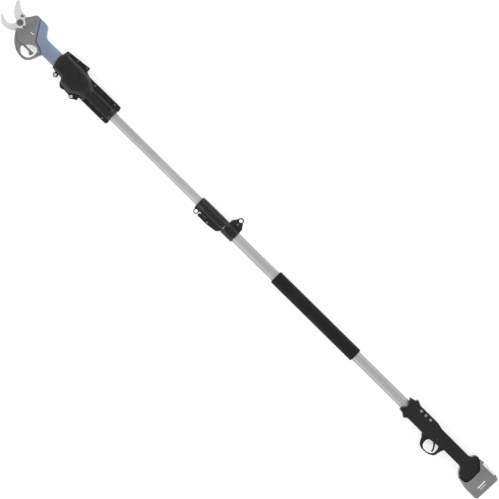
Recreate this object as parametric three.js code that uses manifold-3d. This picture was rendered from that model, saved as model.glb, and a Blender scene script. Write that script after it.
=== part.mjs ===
// A telescopic reach pole with battery secateurs in its head: two aluminium tubes with a lever
// lock, a foam grip, a powered rear handle with its battery, and a holder that takes the
// secateurs' grip. The tool lies on its side, with its head towards +X, its triggers towards
// +Y and +Z up. All lengths are in millimetres and all angles in degrees.
import * as THREE from 'three';
import { mergeVertices } from 'three/addons/utils/BufferGeometryUtils.js';
import Module from 'manifold-3d';

const wasm = await Module();
wasm.setup();

// ---------------------------------------------------------------- driving dimensions
const axisHeight = 34;        // pole axis above the floor, which is half the holder's thickness
const sideShift = -5;         // centres the tool's outline on Y = 0
const gap = 0.3;              // between pieces that touch
const running = 0.5;          // between pieces that slide

const inner = { radius: 15, wall: 1.8, tail: -160, nose: 696 };
const outer = { radius: 17.5, wall: 1.7, tail: -760, nose: 104 };
const foam = { radius: 23, tail: -480, nose: -127 };

const collar = { radius: 20.5, tail: 99.3, nose: 210 };
const collarEye = { x: 197.2, y: 28.4, radius: 8.8, hole: 5.6 };
const lever = { pinX: 147, pinY: 30, pinRadius: 2.6, halfWidth: 7.4, tip: 187 };
const cam = { radius: 9.8, throw: 0.6 };
const strap = { radius: 21.5, tail: 51, nose: 97, eyeX: 74, eyeY: -48.5, screwX: 73, screwY: -33 };

const holder = { tail: 590, mouth: 842, halfThick: 34, flange: 8 };
const socketRadius = 23;
const grip = { top: -27.7, bottom: 19.5, halfThick: 20, foot: 752 };
const pivot = { x: 1006.7, y: -5.4, boltRadius: 4 };
const blade = { thick: 3, slot: 3.6 };
const sector = { pitch: 32, teeth: 32 };
const pinion = { pitch: 8, teeth: 8 };
const bevel = { wheelRadius: 14.5, pinionRadius: 4.6, nose: 956.5 };
const pruner = { halfThick: 22, noseThick: 12, wall: 2.4 };

const handle = { halfThick: 25, gripThick: 20.5, footThick: 27, wall: 2.5 };
const button = { nose: -723, tail: -733 };
const triggerPin = { x: -848, y: 8, radius: 2 };
const prunerPin = { x: 955, y: 34, radius: 1.6 };
const battery = { halfThick: 34, seam: -1022, end: -1072, bayEnd: -1064, bayHalf: 29.4 };
const latch = { front: -992, back: -1052, halfWidth: 12, outside: -45, thick: 3.2 };
const cell = { radius: 9.2, length: 65, pitch: 18.8 };

// ---------------------------------------------------------------- materials
const finish = (color, roughness, metalness = 0) =>
  new THREE.MeshStandardMaterial({ color, roughness, metalness });
const blackPlastic = finish(0x2b2b2d, 0.5);
const foamRubber = finish(0x29292b, 0.9);
const aluminium = finish(0xb9bbbd, 0.35, 1);
const bladeSteel = finish(0xd4d6d8, 0.25, 1);
const steel = finish(0x9a9c9f, 0.35, 1);
const darkSteel = finish(0x4a4c50, 0.4, 1);
const greyPlastic = finish(0x85878a, 0.55);
const bluePlastic = finish(0x8796b8, 0.55);
const lightPlastic = finish(0xc9cbcd, 0.5);
const boardGreen = finish(0x2f5d43, 0.6);
const cableRubber = finish(0x1d1d1f, 0.7);

// ---------------------------------------------------------------- solids
function signedVolume(positions, index) {
  const a = new THREE.Vector3();
  const b = new THREE.Vector3();
  const c = new THREE.Vector3();
  let volume = 0;
  for (let i = 0; i < index.length; i += 3) {
    a.fromArray(positions, index[i] * 3);
    b.fromArray(positions, index[i + 1] * 3);
    c.fromArray(positions, index[i + 2] * 3);
    volume += a.dot(b.cross(c)) / 6;
  }
  return volume;
}

// Makes a closed geometry into a solid whose faces point out.
function solid(geometry) {
  const bare = geometry.clone();
  bare.deleteAttribute('normal');
  bare.deleteAttribute('uv');
  const merged = mergeVertices(bare, 1e-4);
  const vertProperties = Float32Array.from(merged.attributes.position.array);
  const triVerts = Uint32Array.from(merged.index.array);
  if (signedVolume(vertProperties, triVerts) < 0) triVerts.reverse();
  return new wasm.Manifold(new wasm.Mesh({ numProp: 3, vertProperties, triVerts }));
}

function join(...solids) {
  return solids.reduce((whole, piece) => whole.add(piece));
}

function cut(whole, ...tools) {
  return tools.reduce((rest, tool) => rest.subtract(tool), whole);
}

// An outline of corners [x, y, radius], each rounded by an arc of its own radius. An arc no
// larger than the least radius would vanish when the outline is drawn in, so it stays a corner.
function roundedShape(corners, least = 0) {
  const shape = new THREE.Shape();
  corners.forEach(([x, y, radius = 0], i) => {
    const corner = new THREE.Vector2(x, y);
    const [beforeX, beforeY] = corners[(i + corners.length - 1) % corners.length];
    const [afterX, afterY] = corners[(i + 1) % corners.length];
    const back = new THREE.Vector2(beforeX, beforeY).sub(corner);
    const ahead = new THREE.Vector2(afterX, afterY).sub(corner);
    const room = 0.48 * Math.min(back.length(), ahead.length());
    const half = Math.acos(back.dot(ahead) / (back.length() * ahead.length())) / 2;
    const reach = Math.min(room, radius / Math.tan(half));
    const arc = reach * Math.tan(half);
    const turnsRight = back.cross(ahead) > 0;
    back.normalize();
    ahead.normalize();
    const start = corner.clone().addScaledVector(back, arc > least ? reach : 0);
    if (i === 0) shape.moveTo(start.x, start.y);
    else shape.lineTo(start.x, start.y);
    if (arc <= least) return;
    const middle = back.clone().add(ahead).setLength(arc / Math.sin(half)).add(corner);
    const end = corner.clone().addScaledVector(ahead, reach);
    const startAngle = Math.atan2(start.y - middle.y, start.x - middle.x);
    const endAngle = Math.atan2(end.y - middle.y, end.x - middle.x);
    shape.absarc(middle.x, middle.y, arc, startAngle, endAngle, turnsRight);
  });
  shape.closePath();
  return shape;
}

// A plate of an XY outline between two heights. A positive inset draws its sides in,
// a negative one pushes them out, and edge rounds its rims.
function plate(corners, low, high, { edge = 0, inset = 0, curve = 1 } = {}) {
  const rounded = edge > 0 || inset !== 0;
  const rim = rounded ? Math.max(edge, 0.01) : 0;
  const least = rounded ? Math.max(0, 1.1 * (edge + inset)) : 0;
  const geometry = new THREE.ExtrudeGeometry(roundedShape(corners, least), {
    depth: high - low - 2 * rim,
    steps: 1,
    curveSegments: curve,
    bevelEnabled: rounded,
    bevelThickness: rim,
    bevelSize: edge,
    bevelOffset: -edge - inset,
    bevelSegments: edge > 6 ? 2 : 1,
  });
  geometry.translate(0, 0, low + rim);
  return solid(geometry);
}

// A plate of an XZ outline, for the side profile of a body, between two values of Y.
function sidePlate(corners, low, high) {
  const geometry = new THREE.ExtrudeGeometry(roundedShape(corners), {
    depth: high - low,
    bevelEnabled: false,
    curveSegments: 1,
  });
  geometry.rotateX(Math.PI / 2);
  geometry.translate(0, high, 0);
  return solid(geometry);
}

function block([lowX, lowY, lowZ], [highX, highY, highZ]) {
  const geometry = new THREE.BoxGeometry(highX - lowX, highY - lowY, highZ - lowZ);
  geometry.translate((lowX + highX) / 2, (lowY + highY) / 2, (lowZ + highZ) / 2);
  return solid(geometry);
}

// A body turned about the pole's axis from a profile of [x, radius]. It closes on itself.
function turned(profile, sides = 24) {
  const points = profile.map(([x, radius]) => new THREE.Vector2(radius, x));
  const geometry = new THREE.LatheGeometry([...points, points[0]], sides);
  geometry.rotateZ(-Math.PI / 2);
  return solid(geometry);
}

// A body turned about an upright axis at (x, y), from a profile of [z, radius].
function turnedUpright(x, y, profile, sides = 16) {
  const points = profile.map(([z, radius]) => new THREE.Vector2(radius, z));
  const geometry = new THREE.LatheGeometry([...points, points[0]], sides);
  geometry.rotateX(Math.PI / 2);
  geometry.translate(x, y, 0);
  return solid(geometry);
}

function rod(from, to, radius, y = 0, z = 0, sides = 16) {
  const geometry = new THREE.CylinderGeometry(radius, radius, to - from, sides);
  geometry.rotateZ(-Math.PI / 2);
  geometry.translate((from + to) / 2, y, z);
  return solid(geometry);
}

function post(x, y, radius, low, high, sides = 16) {
  const geometry = new THREE.CylinderGeometry(radius, radius, high - low, sides);
  geometry.rotateX(Math.PI / 2);
  geometry.translate(x, y, (low + high) / 2);
  return solid(geometry);
}

function sleeve(from, to, radius, bore, sides = 24) {
  return turned([[from, bore], [from, radius], [to, radius], [to, bore]], sides);
}

// The two halves of a casing, parted along the level of the pole's axis.
function halves(whole) {
  const far = 2000;
  const upper = block([-far, -far, gap / 2], [far, far, far]);
  const lower = block([-far, -far, -far], [far, far, -gap / 2]);
  return [whole.intersect(upper), whole.intersect(lower)];
}

// ---------------------------------------------------------------- the named pieces
const tool = new THREE.Group();

function piece(name, shape, material) {
  const { vertProperties, triVerts } = shape.getMesh();
  const geometry = new THREE.BufferGeometry();
  geometry.setAttribute('position', new THREE.BufferAttribute(vertProperties, 3));
  geometry.setIndex(new THREE.BufferAttribute(triVerts, 1));
  geometry.computeVertexNormals();
  const mesh = new THREE.Mesh(geometry, material);
  mesh.name = name;
  tool.add(mesh);
}

// A countersunk-pan screw whose head stands on a face at the given height.
function screw(name, x, y, face, depth, headRadius = 4.2, shankRadius = 1.8) {
  const head = 2.4;
  const profile = [
    [face - depth, 0], [face - depth, shankRadius], [face + gap, shankRadius],
    [face + gap, headRadius], [face + head, headRadius * 0.7], [face + head, 0],
  ];
  piece(name, turnedUpright(x, y, profile, 8), steel);
}

function screwHole(x, y, low, high, shankRadius = 1.8) {
  return post(x, y, shankRadius + gap, low, high, 8);
}

// ---------------------------------------------------------------- pole
function buildTubes() {
  piece('inner_tube', sleeve(inner.tail, inner.nose, inner.radius, inner.radius - inner.wall), aluminium);
  piece('outer_tube', sleeve(outer.tail, outer.nose, outer.radius, outer.radius - outer.wall), aluminium);
  const bore = 11;
  const spigot = inner.radius - inner.wall - gap;
  const flange = outer.radius - outer.wall - gap;
  const foot = inner.tail - gap;
  piece('tube_end_plug', turned([
    [foot - 6, bore], [foot - 6, flange], [foot, flange],
    [foot, spigot], [foot + 14, spigot], [foot + 14, bore],
  ]), blackPlastic);
  const bush = sleeve(outer.nose + gap, outer.nose + 16, outer.radius, inner.radius + running);
  piece('tube_bush', bush, lightPlastic);
}

function buildFoamGrip() {
  const bore = outer.radius + gap;
  const lip = 4;
  piece('foam_grip', turned([
    [foam.tail, bore], [foam.tail, foam.radius - lip], [foam.tail + 1.5, foam.radius - 1.5],
    [foam.tail + lip, foam.radius], [foam.nose - lip, foam.radius],
    [foam.nose - 1.5, foam.radius - 1.5], [foam.nose, foam.radius - lip], [foam.nose, bore],
  ]), foamRubber);
}

// The supply lead: curled up inside the outer tube, and straight inside the inner one.
function buildCables() {
  const curl = 9.5;
  const strand = 3;
  const curlTail = outer.tail + 24;
  const curlNose = inner.tail + 22;
  piece('coiled_cable', rod(curlTail, curlNose, curl, 0, 0, 12), cableRubber);
  piece('head_cable', rod(curlNose + gap, inner.nose + 23, strand, 0, 0, 8), cableRubber);
}

function buildLock() {
  const bore = inner.radius + running;
  const tubeSeat = outer.radius + gap;
  const { pinX, pinY, pinRadius, halfWidth } = lever;
  const body = turned([
    [collar.tail, tubeSeat], [collar.tail, collar.radius], [collar.nose - 3, collar.radius],
    [collar.nose, collar.radius - 2], [collar.nose, bore], [outer.nose + 16 + gap, bore],
    [outer.nose + 16 + gap, tubeSeat],
  ], 28);
  const ear = [[158, 12], [156, 35.5, 3], [146, 35.5, 5], [109, 31, 6], [100, 22, 2], [100, 12]];
  const earOutside = 14;
  const ears = plate(ear, -earOutside, earOutside, { edge: 1.5 });
  const eyeHalf = 4;
  const eye = join(
    post(collarEye.x, collarEye.y, collarEye.radius, -eyeHalf, eyeHalf, 20),
    block([188, 12, -eyeHalf], [collar.nose - 0.5, 26, eyeHalf]),
  );
  const eyeHole = post(collarEye.x, collarEye.y, collarEye.hole, -9, 9, 20);
  const ledge = block([156, 12, -10], [190, 22, 10]);
  const leverBay = block([100, 22, -halfWidth - gap], [170, 60, halfWidth + gap]);
  const shoeWindow = block([137, 0, -6.5 - gap], [157, 40, 6.5 + gap]);
  const camBay = post(pinX, pinY, cam.radius + 1.2, -halfWidth - gap, halfWidth + gap, 20);
  const tubeBore = rod(collar.tail - 1, collar.nose + 1, bore, 0, 0, 28);
  const seat = rod(collar.tail - 1, outer.nose + 16 + gap, tubeSeat, 0, 0, 28);
  const pinHole = post(pinX, pinY, pinRadius + 0.1, -20, 20, 16);
  const rooms = [eyeHole, leverBay, camBay, shoeWindow, tubeBore, seat, pinHole];
  const shell = cut(join(body, ears, eye, ledge), ...rooms);
  piece('lock_collar', shell, blackPlastic);

  const arm = [
    [pinX + 4, 22.4], [pinX + 12, 22.4], [lever.tip - 7, 22.4, 4], [lever.tip, 27, 3],
    [lever.tip - 1, 35.5, 3], [pinX, 35.5, 4], [pinX - 3, 34],
  ];
  const armWide = [
    [159, 22.4], [lever.tip - 7, 22.4, 4], [lever.tip, 27, 3], [lever.tip - 1, 35.5, 3], [159, 35.5, 1],
  ];
  const disc = post(pinX, pinY - cam.throw, cam.radius, -halfWidth, halfWidth, 24);
  const trimmed = disc.intersect(block([100, 0, -20], [200, 35.5, 20]));
  const hole = post(pinX, pinY, pinRadius + 0.1, -20, 20, 16);
  const leverBody = join(
    plate(arm, -halfWidth, halfWidth, { edge: 0.8 }),
    plate(armWide, -13, 13, { edge: 1.5 }),
    trimmed,
  );
  piece('lock_lever', cut(leverBody, hole), blackPlastic);
  piece('lever_pin', post(pinX, pinY, pinRadius, -earOutside - 0.5, earOutside + 0.5, 16), steel);

  const shoeTop = pinY - cam.throw - cam.radius - gap;
  const shoe = block([137 + gap, 10, -6.5], [157 - gap, shoeTop, 6.5]);
  piece('brake_shoe', cut(shoe, rod(130, 165, inner.radius + gap, 0, 0, 28)), cableRubber);
}

function buildStrapCollar() {
  const cheek = 8;
  const ear = [[96, -16], [96, -32, 5], [88, -40, 5], [60, -40, 5], [52, -32, 5], [52, -16]];
  const ring = sleeve(strap.tail, strap.nose, strap.radius, outer.radius + gap);
  const bore = rod(strap.tail - 1, collar.tail + 1, outer.radius + gap, 0, 0, 24);
  const slot = block([strap.tail - 1, -60, -2.5 - gap], [strap.nose + 1, 0, 2.5 + gap]);
  const hole = post(strap.screwX, strap.screwY, 2.2, -20, 20);
  const rib = cut(
    sleeve(strap.nose - 0.5, collar.tail - gap, 20, outer.radius + gap),
    block([90, -3.6, 0], [110, 12, 40]),
  );
  const body = cut(join(ring, plate(ear, -cheek, cheek, { edge: 1.5 }), rib), bore, slot, hole);
  piece('strap_collar', body, blackPlastic);

  const tongue = [
    [91, -24, 1], [94, -33, 4], [84, -48, 3], [64, -48, 3], [54, -33, 4], [57, -24, 1],
  ];
  const eye = join(plate(tongue, -2.5, 2.5), post(strap.eyeX, strap.eyeY, 9.8, -2.5, 2.5, 20));
  piece('strap_eye', cut(eye, hole, post(strap.eyeX, strap.eyeY, 5.8, -9, 9, 20)), blackPlastic);
  const bolt = turnedUpright(strap.screwX, strap.screwY, [
    [-cheek - 2, 0], [-cheek - 2, 1.9], [cheek + gap, 1.9], [cheek + gap, 3.4], [cheek + 2.4, 2.6],
    [cheek + 2.4, 0],
  ], 12);
  piece('collar_screw', bolt, steel);
}

// ---------------------------------------------------------------- holder
const cuffScrews = [[828, -42], [792, -46.4], [756, -50]];
const socketScrews = [[699, -29.5], [613, -29.5], [699, 27], [613, 27]];
const cuffBolts = [[813.6, 33.4], [730.2, 47.3]];

function buildHolder() {
  const { halfThick, flange } = holder;
  const rim = [
    [838, -47.5, 4], [749, -57.5, 2], [748, -43, 3], [731, -37, 6], [594, -38, 3], [589.5, -24, 4],
    [597, -16, 3], [597, 12, 3], [590, 20, 3], [591, 30, 3], [597, 33.5, 2], [712, 33.5, 2],
    [709, 44, 3], [716, 47, 3], [725, 52, 4], [760, 48, 6], [774, 54, 8], [787, 42, 6], [793, 28, 5],
    [806, 27, 3], [822, 27, 3], [835, 23, 4],
  ];
  const cuff = [
    [837, -39, 8], [holder.mouth + 2, -12, 25], [835, 24, 10], [795, 26, 10], [782, 42, 14],
    [742, 44, 12], [714, 26, 18], [702, 14, 14], [702, -16, 14], [718, -32, 18], [760, -40, 20],
  ];
  const lugs = cuffBolts.map(([x, y]) => post(x, y, 8.4, -9, 9, 20));
  const outside = join(
    plate(rim, -flange, flange, { edge: 1.5 }),
    plate(cuff, -halfThick, halfThick, { edge: 12 }),
    rod(holder.tail + 2, 722, socketRadius, 0, 0, 24),
    ...lugs,
  );
  const channel = [
    [grip.foot - 4, grip.top - running, 6], [900, grip.top - running, 6],
    [900, grip.bottom + running, 6], [grip.foot - 4, grip.bottom + running, 6],
  ];
  const channelHalf = grip.halfThick + running;
  const bores = [
    plate(channel, -channelHalf, channelHalf, { edge: 6 }),
    rod(500, inner.nose + gap, inner.radius + gap, 0, 0, 24),
    rod(600, 740, 4.5),
    block([inner.nose + 24, -19, -15], [grip.foot, 11, 15]),
    block([746, 20, -14], [784, 38, 14]),
    ...[...cuffScrews, ...socketScrews].map(([x, y]) => screwHole(x, y, -flange + 1, 40)),
    ...[...cuffScrews, ...socketScrews].map(([x, y]) => post(x, y, 4.7, flange, 40, 10)),
    ...cuffBolts.map(([x, y]) => screwHole(x, y, -20, 20, 3.6)),
  ];
  const [front, back] = halves(cut(outside, ...bores));
  piece('holder_shell_front', front, blackPlastic);
  piece('holder_shell_back', back, blackPlastic);

  cuffScrews.forEach(([x, y], i) => screw(`cuff_screw_${i + 1}`, x, y, flange, 13));
  socketScrews.forEach(([x, y], i) => screw(`socket_screw_${i + 1}`, x, y, flange, 13));
  cuffBolts.forEach(([x, y], i) => screw(`cuff_bolt_${i + 1}`, x, y, 9, 17, 5.6, 3.5));

  const plugBody = block([inner.nose + 24 + gap, -18.7, -14.7], [grip.foot - 4, 10.7, 14.7]);
  const tongue = block([grip.foot - 5, -14, -9], [grip.foot + 14, 6, 9]);
  piece('adapter_plug', join(plugBody, tongue), lightPlastic);
}

// ---------------------------------------------------------------- secateurs
const gripEdge = 5.5;
const gripOutline = [
  [970, -60.5, 2], [944, -60.5, 8], [933, -56, 8], [926, -44, 14], [912, grip.top, 10],
  [grip.foot, grip.top, 4],
  [grip.foot, grip.bottom, 4], [892, grip.bottom, 4], [908, 10, 8], [930, 4, 12], [940, -12, 12],
];
const headBody = [
  [960, -60.5], [985, -60.5, 7], [997, -41, 8], [1004, -33, 6], [1003, -10, 10], [1002, 20, 6],
  [972, 38, 10],
  [935, 28, 8], [888, 20.3], [900, 0], [935, -25], [955, -45],
];
const headGuard = [
  [1000, 0], [1002, 21, 6], [985, 45, 14], [967, 60, 14], [948, 69, 14], [919, 71, 14], [904, 59, 10],
  [895, 38, 8], [891, 26, 5], [887, 20.3], [900, 8], [960, 0],
];
const guardOpening = [
  [957.5, 45, 4], [948, 31, 5], [940, 22, 6], [927, 16, 6], [913, 14.5, 5], [904.5, 20, 5],
  [903.5, 40, 12], [911, 57, 10], [928, 63, 10], [944, 60, 10],
];

// The toothed rim of a gear or a sector, as an outline. phase turns a tooth to a given angle.
function gearOutline({ pitch, teeth }, from, count, phase) {
  const module = (2 * pitch) / teeth;
  const tip = pitch + 0.75 * module;
  const root = pitch - 1.05 * module;
  const step = (2 * Math.PI) / teeth;
  const points = [];
  for (let i = 0; i < count; i += 1) {
    const middle = phase + (from + i) * step;
    const ring = [[root, -0.31], [tip, -0.11], [tip, 0.11], [root, 0.31]];
    ring.forEach(([radius, share]) => {
      const angle = middle + share * step;
      points.push([radius * Math.cos(angle), radius * Math.sin(angle)]);
    });
  }
  return points;
}

function moved(points, x, y) {
  return points.map(([px, py, radius]) => [px + x, py + y, radius]);
}

function buildPrunerCasing() {
  const { halfThick, noseThick, wall } = pruner;
  const deep = halfThick - wall;
  const side = [
    [700, -halfThick], [962, -halfThick, 10], [977, -noseThick, 6], [1010, -noseThick],
    [1010, noseThick], [977, noseThick, 6], [962, halfThick, 10], [700, halfThick],
  ];
  const profile = sidePlate(side, -100, 100);
  const hollowSide = [
    [700, -deep], [958, -deep], [973, wall - noseThick], [1010, wall - noseThick],
    [1010, noseThick - wall], [973, noseThick - wall], [958, deep], [700, deep],
  ];
  const hollow = sidePlate(hollowSide, -100, 100);

  const cavityOutline = [
    [974, -57, 2], [982, -57, 4], [996, -36, 4], [1012, -20], [1012, 14], [992, 24, 8],
    [960, 26, 8], [944, 18, 4], [946, 4, 6], [952, -14, 10],
  ];
  const opening = plate(guardOpening, -40, 40);
  const drum = plate(headBody, -halfThick, halfThick, { edge: 5 });
  const guard = plate(headGuard, -9, 9, { edge: 2.5 });
  const gripEnvelope = plate(gripOutline, -40, 40, { edge: gripEdge, inset: -gap });
  const bosses = [
    post(pivot.x - 1, pivot.y, 11, blade.slot, noseThick, 20),
    post(pivot.x - 1, pivot.y, 11, -noseThick, -blade.slot, 20),
  ];
  const cavity = plate(cavityOutline, -deep, deep).intersect(hollow);
  const slot = block([984, -48, -blade.slot], [1030, 40, blade.slot]);
  const shaft = post(pivot.x - 40, pivot.y, 4.3, -12.5, 12.5);
  const boltHole = post(pivot.x, pivot.y, pivot.boltRadius + 0.2, -30, 30, 20);
  const passage = rod(860, 960, 6, pivot.y, 0, 12);
  const triggerBay = block([906, 16, -5], [prunerPin.x + 6, 44, 5]);
  const pinHole = post(prunerPin.x, prunerPin.y, prunerPin.radius + 0.1, -7, 7, 12);
  const head = join(cut(join(drum.intersect(profile), guard), cavity, opening), ...bosses);
  const headWhole = cut(head, gripEnvelope, slot, boltHole, passage, triggerBay, pinHole);
  const [headFront, headBack] = halves(headWhole);
  const plateBed = block([979, -24, noseThick - 0.01], [1030, 20, 40]);
  piece('pruner_head_front', cut(headFront, plateBed, shaft), greyPlastic);
  piece('pruner_head_back', cut(headBack, shaft), greyPlastic);

  const body = plate(gripOutline, -grip.halfThick, grip.halfThick, { edge: gripEdge });
  const insideHalf = grip.halfThick - wall;
  const inside = plate(gripOutline, -insideHalf, insideHalf, { edge: 4, inset: wall });
  const mouth = block([740, -15, -10], [760, 7, 10]);
  const throat = rod(880, 960, 6, pivot.y, 0, 12);
  const [gripFront, gripBack] = halves(cut(body, inside, mouth, throat));
  piece('pruner_grip_front', gripFront, bluePlastic);
  piece('pruner_grip_back', gripBack, bluePlastic);
}

function buildBlades() {
  const { x, y, boltRadius } = pivot;
  const toothPhase = Math.PI;
  const rimPoints = gearOutline(sector, -6, 7, toothPhase);
  const tail = plate(moved([...rimPoints, [0, -8], [0, 10]], x, y), 0.2, blade.thick + 0.2);
  const cuttingEdge = [
    [1003, -32, 4], [1020, -34.5, 12], [1033, -37, 12], [1046, -46, 10], [1057, -54, 5],
    [1063.5, -53, 1.5], [1062, -42, 12], [1050, -19, 14], [1036, -7, 12], [1021, 0, 8], [1009, 8, 6],
    [996, 2, 6],
  ];
  const bolt = post(x, y, boltRadius + 0.1, -30, 30, 20);
  const cutting = cut(join(plate(cuttingEdge, 0.2, blade.thick + 0.2, { curve: 2 }), tail), bolt);
  piece('cutting_blade', cutting, bladeSteel);

  const hook = [
    [1015, -18, 5], [1019, 6, 6], [1027, 17, 6], [1040, 20, 14], [1058, 16.5, 12], [1073, 11, 1],
    [1065, 26, 10], [1050, 37, 14], [1036, 39.5, 14], [1020, 36, 16], [1002, 25, 8], [984, 12, 3],
    [984, -20, 3],
  ];
  const lockHole = post(988.2, -4.4, 2.6, -30, 30, 12);
  piece('hook_blade', cut(plate(hook, -blade.thick - 0.2, -0.2, { curve: 2 }), bolt, lockHole), bladeSteel);

  const under = -pruner.noseThick - gap;
  piece('pivot_bolt', turnedUpright(x, y, [
    [under - 3, 0], [under - 3, 8], [under, 8], [under, boltRadius], [21, boltRadius], [21, 0],
  ], 20), darkSteel);
  const top = pruner.noseThick + 2.6;
  const nut = turnedUpright(x, y, [
    [top, boltRadius + 0.1], [top, 10], [top + 5, 8.6], [top + 5, boltRadius + 0.1],
  ], 20);
  piece('pivot_nut', nut, darkSteel);
  const lockPlate = [
    [1018, -20, 5], [1006, -25, 7], [994, -17, 8], [981.5, -5, 4], [994, 7, 8], [1006, 14, 7],
    [1018, 8, 5],
  ];
  const holes = [
    post(x, y, boltRadius + 0.3, 0, 40, 20),
    post(988.2, -4.4, 2.6, 0, 40, 12),
  ];
  const low = pruner.noseThick + gap;
  piece('lock_plate', cut(plate(lockPlate, low, low + 2, { edge: 0.4 }), ...holes), bladeSteel);
}

// The blade's drive: a motor and planetary gearbox in the grip turn a bevel pair, whose
// upright shaft carries the spur pinion that drives the blade's toothed tail.
function buildDrive() {
  const shaftX = pivot.x - sector.pitch - pinion.pitch;
  const shaftY = pivot.y;
  const halfStep = Math.PI / pinion.teeth;
  const spur = plate(moved(gearOutline(pinion, 0, pinion.teeth, halfStep), shaftX, shaftY), 0, 3.4);
  const shaft = post(shaftX, shaftY, 3.6, -12, 12, 12);
  piece('drive_pinion', join(spur, shaft), darkSteel);
  const { wheelRadius, pinionRadius, nose } = bevel;
  const slope = pinionRadius / wheelRadius;
  const face = (radius) => -radius * slope - 1.3 * gap;
  const wheel = turnedUpright(shaftX, shaftY, [
    [-9, 3.9], [-9, wheelRadius - 1], [face(wheelRadius), wheelRadius],
    [face(wheelRadius - 6), wheelRadius - 6], [face(wheelRadius - 6), 3.9],
  ], 20);
  piece('bevel_wheel', wheel, darkSteel);
  const back = shaftX - wheelRadius;
  const noseRadius = (shaftX - nose) * slope;
  const cone = new THREE.CylinderGeometry(noseRadius, pinionRadius, nose - back, 16);
  cone.rotateZ(-Math.PI / 2);
  cone.translate((nose + back) / 2, shaftY, 0);
  piece('bevel_pinion', join(solid(cone), rod(890, back + 1, 3, shaftY, 0, 12)), darkSteel);
  const gearbox = cut(rod(862, 900, 14, shaftY, 0, 20), rod(885, 905, 3.4, shaftY, 0, 12));
  piece('pruner_gearbox', gearbox, darkSteel);
  piece('pruner_motor', rod(800, 862 - gap, 15, shaftY, 0, 20), steel);
}

function buildPrunerTrigger() {
  const bar = [
    [960, 30.5, 4], [960, 38, 4], [950, 40, 4], [926, 39.5, 6], [919, 46.5, 3], [912.5, 46.5, 3],
    [909.5, 36, 4], [911, 32, 3], [922, 33.4, 6], [946, 33.2, 6], [951, 30.5, 3],
  ];
  const hole = post(prunerPin.x, prunerPin.y, prunerPin.radius + 0.1, -20, 20, 12);
  piece('pruner_trigger', cut(plate(bar, -4.5, 4.5, { edge: 1 }), hole), greyPlastic);
  piece('pruner_trigger_pin', post(prunerPin.x, prunerPin.y, prunerPin.radius, -6.8, 6.8, 12), steel);
  piece('pruner_switch', block([770, -24, -12], [792, -6, 12]), boardGreen);
}

// ---------------------------------------------------------------- rear handle
const handleEdge = 7;
const handleOutline = [
  [-696, -27.5, 3], [-713, -31.5, 5], [-719, -39, 3], [-736, -31.5, 8], [-811, -31.5, 20],
  [-838, -26, 20], [-961, -25, 10], [-967, -39, 8], [-976, -44.5, 8], [-985, -42, 8], [-1012, -17, 8],
  [-1012, 22, 12], [-1008, 40, 8], [-998, 43.5, 8], [-980, 45, 8], [-967, 33, 12], [-960, 17, 12],
  [-880, 17, 10], [-856, 21, 10], [-822, 26, 8], [-733, 25, 5], [-723, 33.5, 4], [-712, 25, 5],
  [-696, 21, 3],
];
const handleGuard = [
  [-797, 15], [-798, 28, 5], [-808, 36, 6], [-814, 51, 9], [-825, 62.5, 9], [-848, 63, 12],
  [-863, 60, 12], [-879, 50, 10], [-880, 34, 8], [-888, 15],
];
const handleOpening = [
  [-822, 42, 6], [-827, 24, 6], [-850, 22, 6], [-868, 19, 6], [-872, 33, 8], [-871, 48, 8],
  [-856, 58.5, 10], [-831, 58, 8],
];
const gaugeLenses = [-749.4, -769.2, -789.4];

function buildRearHandle() {
  const { halfThick, gripThick, footThick, wall } = handle;
  const upperSide = [
    [-690, halfThick], [-800, halfThick, 30], [-850, gripThick, 30], [-950, gripThick, 15],
    [-975, footThick, 10], [-1020, footThick],
  ];
  const lowerSide = upperSide.map(([x, z, radius]) => [x, -z, radius]).reverse();
  const profile = sidePlate([...upperSide, ...lowerSide], -100, 100);
  const outside = join(
    plate(handleOutline, -28, 28, { edge: handleEdge }).intersect(profile),
    plate(handleGuard, -10, 10, { edge: 3 }),
  );
  const deep = gripThick - wall;
  const tools = [
    plate(handleOpening, -40, 40),
    rod(outer.tail - gap, -680, outer.radius + gap, 0, 0, 24),
    block([-985, -22, -deep], [outer.tail - 4, 13, deep]),
    rod(-770, -755, 8),
    block([-1020, -37, -footThick + 3], [-984, 38.5, footThick - 3]),
    block([-866, 10, -7], [-838, 30, 7]),
    post(-680, -3.2, 26, -40, 40, 32),
    block([button.tail - gap, -45, -5], [button.nose + gap, -20, 5]),
    ...gaugeLenses.map((x) => post(x, -21, 5, 10, 40, 16)),
    post(triggerPin.x, triggerPin.y, triggerPin.radius + 0.1, -30, 30, 12),
  ];
  const [front, back] = halves(cut(outside, ...tools));
  piece('handle_shell_front', front, blackPlastic);
  piece('handle_shell_back', back, blackPlastic);
  gaugeLenses.forEach((x, i) => {
    piece(`gauge_lens_${i + 1}`, post(x, -21, 4.6, deep + 1, halfThick - 0.6, 16), lightPlastic);
  });
  const cap = [
    [button.nose, -26], [button.nose, -38, 1], [button.tail, -33.8, 1], [button.tail, -26],
  ];
  piece('top_button', plate(cap, -5 + gap, 5 - gap), blackPlastic);
}

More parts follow.
